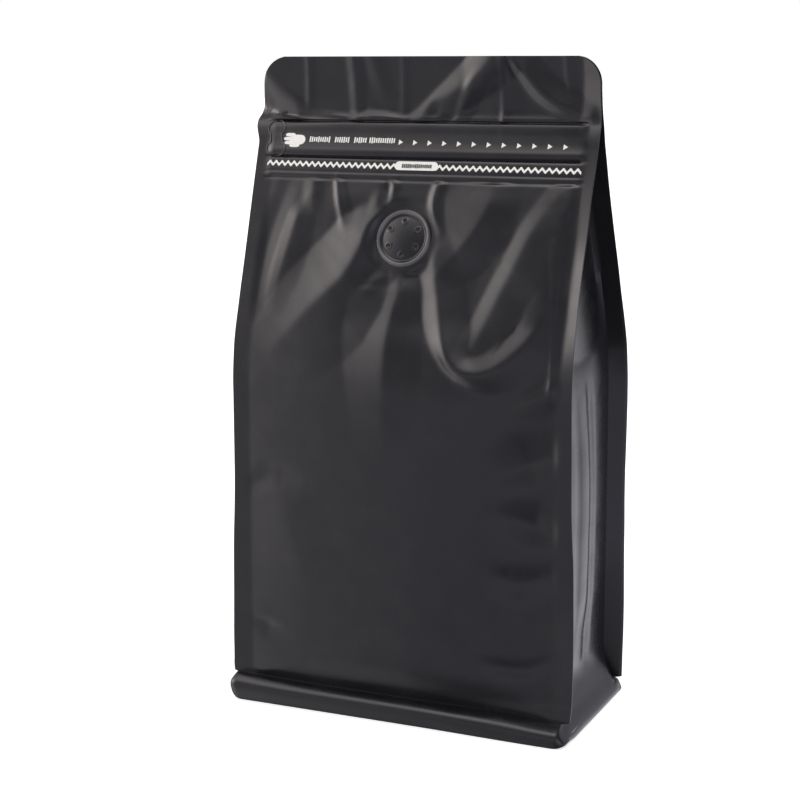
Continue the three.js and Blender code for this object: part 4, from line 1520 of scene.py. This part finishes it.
@dataclass(frozen=True)
class BandPrint:
    """All that is printed on the zipper band, without any lettering.

    Attributes:
        face: lays the marks on the film.
        pill_centre: x of the pill's centre, in millimetres.
        pill_height: height of its centre above the floor.
        pill_half: half its width.
        pill_tall: its height.
        sign: x, height, half width and half height of each rounded part of the sign.
    """

    face: PrintFace
    pill_centre: float = -0.2
    pill_height: float = 198.3
    pill_half: float = 8.2
    pill_tall: float = 3.0
    sign: tuple[tuple[float, float, float, float], ...] = (
        (-49.0, 206.6, 3.3, 1.75), (-52.0, 208.3, 2.0, 0.62), (-52.6, 206.9, 2.0, 0.62),
        (-52.2, 205.5, 1.9, 0.6), (-49.8, 204.6, 2.1, 0.62),
    )

    def rows(self) -> tuple[MarkRow, ...]:
        """Lists the rows of white marks on the band.

        Returns:
            The rows, from the zig-zag up.
        """
        return (
            MarkRow("print_zigzag", MarkShape.TOOTH, -59.1, 198.2, 0.55, 2.51, 48, (1.6, 2.0)),
            MarkRow("print_arrows", MarkShape.ARROW, -7.4, 206.35, 0.7, 5.55, 12, (1.6, 1.8)),
            MarkRow(
                "print_word_marks", MarkShape.STROKE, -43.6, 206.85, 0.0, 0.86, 40, (0.5, 2.1),
                gaps=(10, 11, 19, 20, 27), spread=0.3, seed=7,
            ),
        )

    def inked(
        self, name: str, parts: Sequence[tuple[np.ndarray, Faces, float, float]], ink: bpy.types.Material,
        extra: float = 0.0,
    ) -> bpy.types.Object:
        """Joins plates into one printed piece and lays it on the film.

        Args:
            name: the piece's name.
            parts: points, faces, x and height of each plate.
            ink: the ink of the piece.
            extra: how much prouder than usual it stands, in millimetres.

        Returns:
            The finished piece.
        """
        all_points, all_faces, start = [], [], 0
        for points, faces, x, z in parts:
            all_points.append(points + (x, 0.0, z))
            all_faces += [tuple(v + start for v in face) for face in faces]
            start += len(points)
        piece = mesh_piece(name, np.vstack(all_points), all_faces)
        piece.data.materials.append(ink)
        self.face.lay(piece, extra)
        return piece

    def build_pill(self, ink: bpy.types.Material) -> bpy.types.Object:
        """Builds the white pill in the middle of the zig-zag.

        Args:
            ink: the pill's ink.

        Returns:
            The finished piece.
        """
        r = self.pill_tall / 2
        straight = self.pill_half - r
        bow = lambda x: math.sqrt(max(0.0009, r * r - max(0.0, abs(x) - straight) ** 2))
        ends = [straight + r * math.sin(a) for a in np.linspace(0, math.pi / 2, 9)]
        across = [-e for e in reversed(ends)] + list(np.linspace(-straight, straight, 13)[1:-1]) + ends
        plate = slab(across, lambda x: -bow(x), bow, rows=6)
        return self.inked("print_pill", [(*plate, self.pill_centre, self.pill_height)], ink, 0.05)

    def build_sign(self, ink: bpy.types.Material) -> bpy.types.Object:
        """Builds the plain pinching sign at the start of the row: a palm and four rounded tips.

        Args:
            ink: the sign's ink.

        Returns:
            The finished piece.
        """
        parts = []
        for x, z, half, tall in self.sign:
            bow = lambda at, h=half, t=tall: t * max(0.03, 1 - (at / h) ** 4) ** 0.5
            plate = slab(ellipse_arc(half, math.pi / 2 - 0.05, 11), lambda at: -bow(at), bow, rows=3)
            parts.append((*plate, x, z))
        return self.inked("print_pinch_sign", parts, ink)

    def build(self, white: bpy.types.Material, dark: bpy.types.Material) -> list[bpy.types.Object]:
        """Builds every mark of the band.

        Args:
            white: the light ink.
            dark: the ink of the marks on the pill.

        Returns:
            The finished pieces.
        """
        pieces = [row.build(self.face, white) for row in self.rows()]
        pieces += [self.build_pill(white), self.build_sign(white)]
        marks = MarkRow(
            "print_pill_marks", MarkShape.STROKE, -5.4, 198.25, 0.0, 0.72, 16, (0.5, 1.4), spread=0.3, seed=3
        )
        on_pill = PrintFace(self.face.film, self.face.proud + 0.2, 0.0)
        return [*pieces, marks.build(on_pill, dark)]


@dataclass(frozen=True)
class TearLines:
    """The embossed lines for tearing the bag open: a tab outline, and a line of small slots.

    Attributes:
        face: lays the slots on the film.
        bead: radius of the tab's embossed line, in millimetres.
        spacing: distance between two rings of that line.
        proud: how far the line's middle stands out of the film.
        lobe_turn: how far each lobe runs past its half circle at either end, in radians.
        lobes: x, height, half width and half height of the tab's two lobes, and where each starts.
    """

    face: PrintFace
    bead: float = 0.28
    spacing: float = 0.5
    proud: float = 0.02
    lobe_turn: float = 0.9
    lobes: tuple[tuple[float, float, float, float, float], ...] = (
        (-58.2, 210.6, 3.6, 2.7, 0.0), (-57.4, 203.4, 4.0, 2.7, math.pi),
    )

    def tab_path(self) -> np.ndarray:
        """Closed outline of the tab: two round lobes joined by a waist.

        Returns:
            (n, 3) array of places on the film, in millimetres.
        """
        path = []
        for x, z, wide, tall, first in self.lobes:
            for a in np.linspace(first - self.lobe_turn, first + math.pi + self.lobe_turn, 22):
                path.append((x + wide * math.cos(a), z + tall * math.sin(a)))
        x, z = np.array(path).T
        return np.stack([x, self.face.film.depth(x, z) - self.proud, z], -1)

    def bead_tree(self, material: bpy.types.Material) -> bpy.types.NodeTree:
        """Builds the node tree that sweeps a round bead along a closed line.

        Args:
            material: the bead's film.

        Returns:
            The finished tree.
        """
        tree, given = start_tree("bead_along_line", {"Radius": "Float", "Spacing": "Float"})
        line = add_node(tree, "GeometryNodeMeshToCurve", {"Mesh": given["Geometry"]})
        even = add_node(
            tree, "GeometryNodeResampleCurve", {"Curve": line.outputs["Curve"], "Length": given["Spacing"]},
            mode="LENGTH",
        )
        ring = add_node(
            tree, "GeometryNodeCurvePrimitiveCircle", {"Resolution": 8, "Radius": given["Radius"]}, mode="RADIUS"
        )
        swept = add_node(
            tree, "GeometryNodeCurveToMesh",
            {"Curve": even.outputs["Curve"], "Profile Curve": ring.outputs["Curve"], "Fill Caps": True},
        )
        finish_tree(tree, swept.outputs["Mesh"], material)
        return tree

    def build(self, film: bpy.types.Material) -> list[bpy.types.Object]:
        """Builds the tab outline and the slots beside the band's right end.

        Args:
            film: the laminate, which the lines are pressed into.

        Returns:
            The two finished pieces.
        """
        path = self.tab_path()
        loop = [(i, (i + 1) % len(path)) for i in range(len(path))]
        tab = mesh_piece("tear_tab_outline", path, [], loop)
        run_tree(tab, self.bead_tree(film), {"Radius": self.bead * MM, "Spacing": self.spacing * MM})
        smooth(tab, 60)
        slots = MarkRow(
            "tear_line_slots", MarkShape.BEAD, 58.2, 194.2, 0.0, 1.15, 17, (0.45, 0.7), vertical=True
        )
        return [tab, slots.build(self.face, film)]


# ---------------------------------------------------------------- the studio
@dataclass(frozen=True)
class Glow:
    """A soft light of the studio: a direction in degrees, how tight it is and its colour."""

    azimuth: float
    elevation: float
    tightness: float
    colour: tuple[float, float, float]

    def direction(self) -> tuple[float, float, float]:
        """Unit vector towards the light."""
        a, e = math.radians(self.azimuth), math.radians(self.elevation)
        return (math.cos(e) * math.cos(a), math.cos(e) * math.sin(a), math.sin(e))


@dataclass(frozen=True)
class Studio:
    """White floor, soft light from all round, and the camera at the photograph's angle.

    Attributes:
        ground: colour that glossy surfaces reflect where no soft light stands.
        fill: strength of the even white light on everything else.
        glows: the soft lights that glossy surfaces reflect.
        floor_reach: half the floor's width, in millimetres.
        camera_place: the camera's place, in millimetres.
        camera_target: the place that it looks at, in millimetres.
        lens: its focal length, in millimetres.
    """

    ground: tuple[float, float, float] = (0.1, 0.105, 0.13)
    fill: float = 1.0
    glows: tuple[Glow, ...] = (
        Glow(-114, -10, 12, (0.39, 0.39, 0.43)),
        Glow(-165, 18, 10, (5.1, 4.7, 4.6)),
        Glow(-156, -36, 14, (1.5, 1.4, 1.4)),
        Glow(-76, -6, 9, (0.42, 0.42, 0.46)),
        Glow(-100, 80, 8, (3.6, 3.4, 3.35)),
        Glow(-24, -12, 9, (1.1, 1.1, 1.4)),
        Glow(62, -24, 12, (1.5, 1.5, 1.57)),
    )
    floor_reach: float = 12000.0
    camera_place: tuple[float, float, float] = (250.987, -597.056, 232.230)
    camera_target: tuple[float, float, float] = (-12.073, 0.0, 111.608)
    lens: float = 80.835

    def light(self) -> None:
        """Builds the world: even light for the floor, and the soft lights that the film reflects."""
        world = bpy.data.worlds.new("soft_studio")
        bpy.context.scene.world = world
        world.use_nodes = True
        world.cycles.sampling_method = "NONE"
        tree = world.node_tree
        tree.nodes.clear()
        toward = add_node(tree, "ShaderNodeTexCoord").outputs["Generated"]
        total = add_node(tree, "ShaderNodeCombineXYZ", dict(enumerate(self.ground))).outputs[0]
        for glow in self.glows:
            facing = add_node(
                tree, "ShaderNodeVectorMath", {0: toward, 1: glow.direction()}, operation="DOT_PRODUCT"
            )
            short = add_node(tree, "ShaderNodeMath", {0: facing.outputs["Value"], 1: 1.0}, operation="SUBTRACT")
            tight = add_node(tree, "ShaderNodeMath", {0: short.outputs[0], 1: glow.tightness}, operation="MULTIPLY")
            share = add_node(tree, "ShaderNodeMath", {0: tight.outputs[0]}, operation="EXPONENT")
            lit = add_node(
                tree, "ShaderNodeVectorMath", {0: glow.colour, "Scale": share.outputs[0]}, operation="SCALE"
            )
            summed = add_node(tree, "ShaderNodeVectorMath", {0: total, 1: lit.outputs[0]}, operation="ADD")
            total = summed.outputs[0]
        glossy = add_node(tree, "ShaderNodeLightPath").outputs["Is Glossy Ray"]
        reflected = add_node(tree, "ShaderNodeBackground", {"Color": total, "Strength": 1.0})
        even = add_node(tree, "ShaderNodeBackground", {"Color": (1.0, 1.0, 1.0, 1.0), "Strength": self.fill})
        mixed = add_node(tree, "ShaderNodeMixShader", {0: glossy, 1: even.outputs[0], 2: reflected.outputs[0]})
        add_node(tree, "ShaderNodeOutputWorld", {"Surface": mixed.outputs[0]})
        bpy.context.scene.view_settings.view_transform = "Standard"

    def floor(self, paint: bpy.types.Material) -> None:
        """Lays the floor, which the film's reflections pass through to the soft lights.

        Args:
            paint: the floor's paint.
        """
        r = self.floor_reach
        floor = mesh_piece("studio_floor", np.array([(-r, -r, 0), (r, -r, 0), (r, r, 0), (-r, r, 0)]), [(0, 1, 2, 3)])
        floor.data.materials.append(paint)
        floor.visible_glossy = False

    def camera(self) -> None:
        """Places the camera and makes it the scene's own."""
        data = bpy.data.cameras.new("studio_camera")
        data.lens = self.lens
        data.sensor_width = 36.0
        data.clip_start, data.clip_end = 0.01, 50.0
        camera = place_object("studio_camera", data)
        place, target = Vector(self.camera_place) * MM, Vector(self.camera_target) * MM
        camera.location = place
        camera.rotation_euler = (target - place).to_track_quat("-Z", "Y").to_euler()
        bpy.context.scene.camera = camera


def report(piece: bpy.types.Object) -> None:
    """Logs a finished piece and its face count."""
    LOG.info("%s: %d faces", piece.name, len(piece.data.polygons))


def main() -> None:
    """Builds the bag's pieces in order, dresses them and sets up the studio."""
    logging.basicConfig(level=logging.INFO, format="%(name)s %(message)s")
    studio = Studio()
    studio.camera()
    laminate = MattLaminate().build()
    stretched = StretchedLaminate().build()
    white = PrintedInk("white_gravure_ink", "#e6e4e0", "#d6d3cd").build()
    dark = PrintedInk("black_gravure_ink", "#3a383a", "#4a484a").build()
    film = FrontFilm()

    pouch = Pouch(film)
    skin = pouch.build()
    pouch.dress(skin, laminate)
    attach(skin, "root")
    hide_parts("bag")
    report(skin)

    valve = Valve(film)
    disc = valve.build()
    valve.dress(disc, stretched)
    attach(disc, "root")
    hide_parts("valve")
    report(disc)

    face = PrintFace(film)
    for piece in BandPrint(face).build(white, dark):
        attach(piece, "root")
        report(piece)
    for piece in TearLines(face).build(laminate):
        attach(piece, "root")
        report(piece)

    studio.light()
    studio.floor(PaintedFloor().build())


if __name__ == "__main__":
    main()
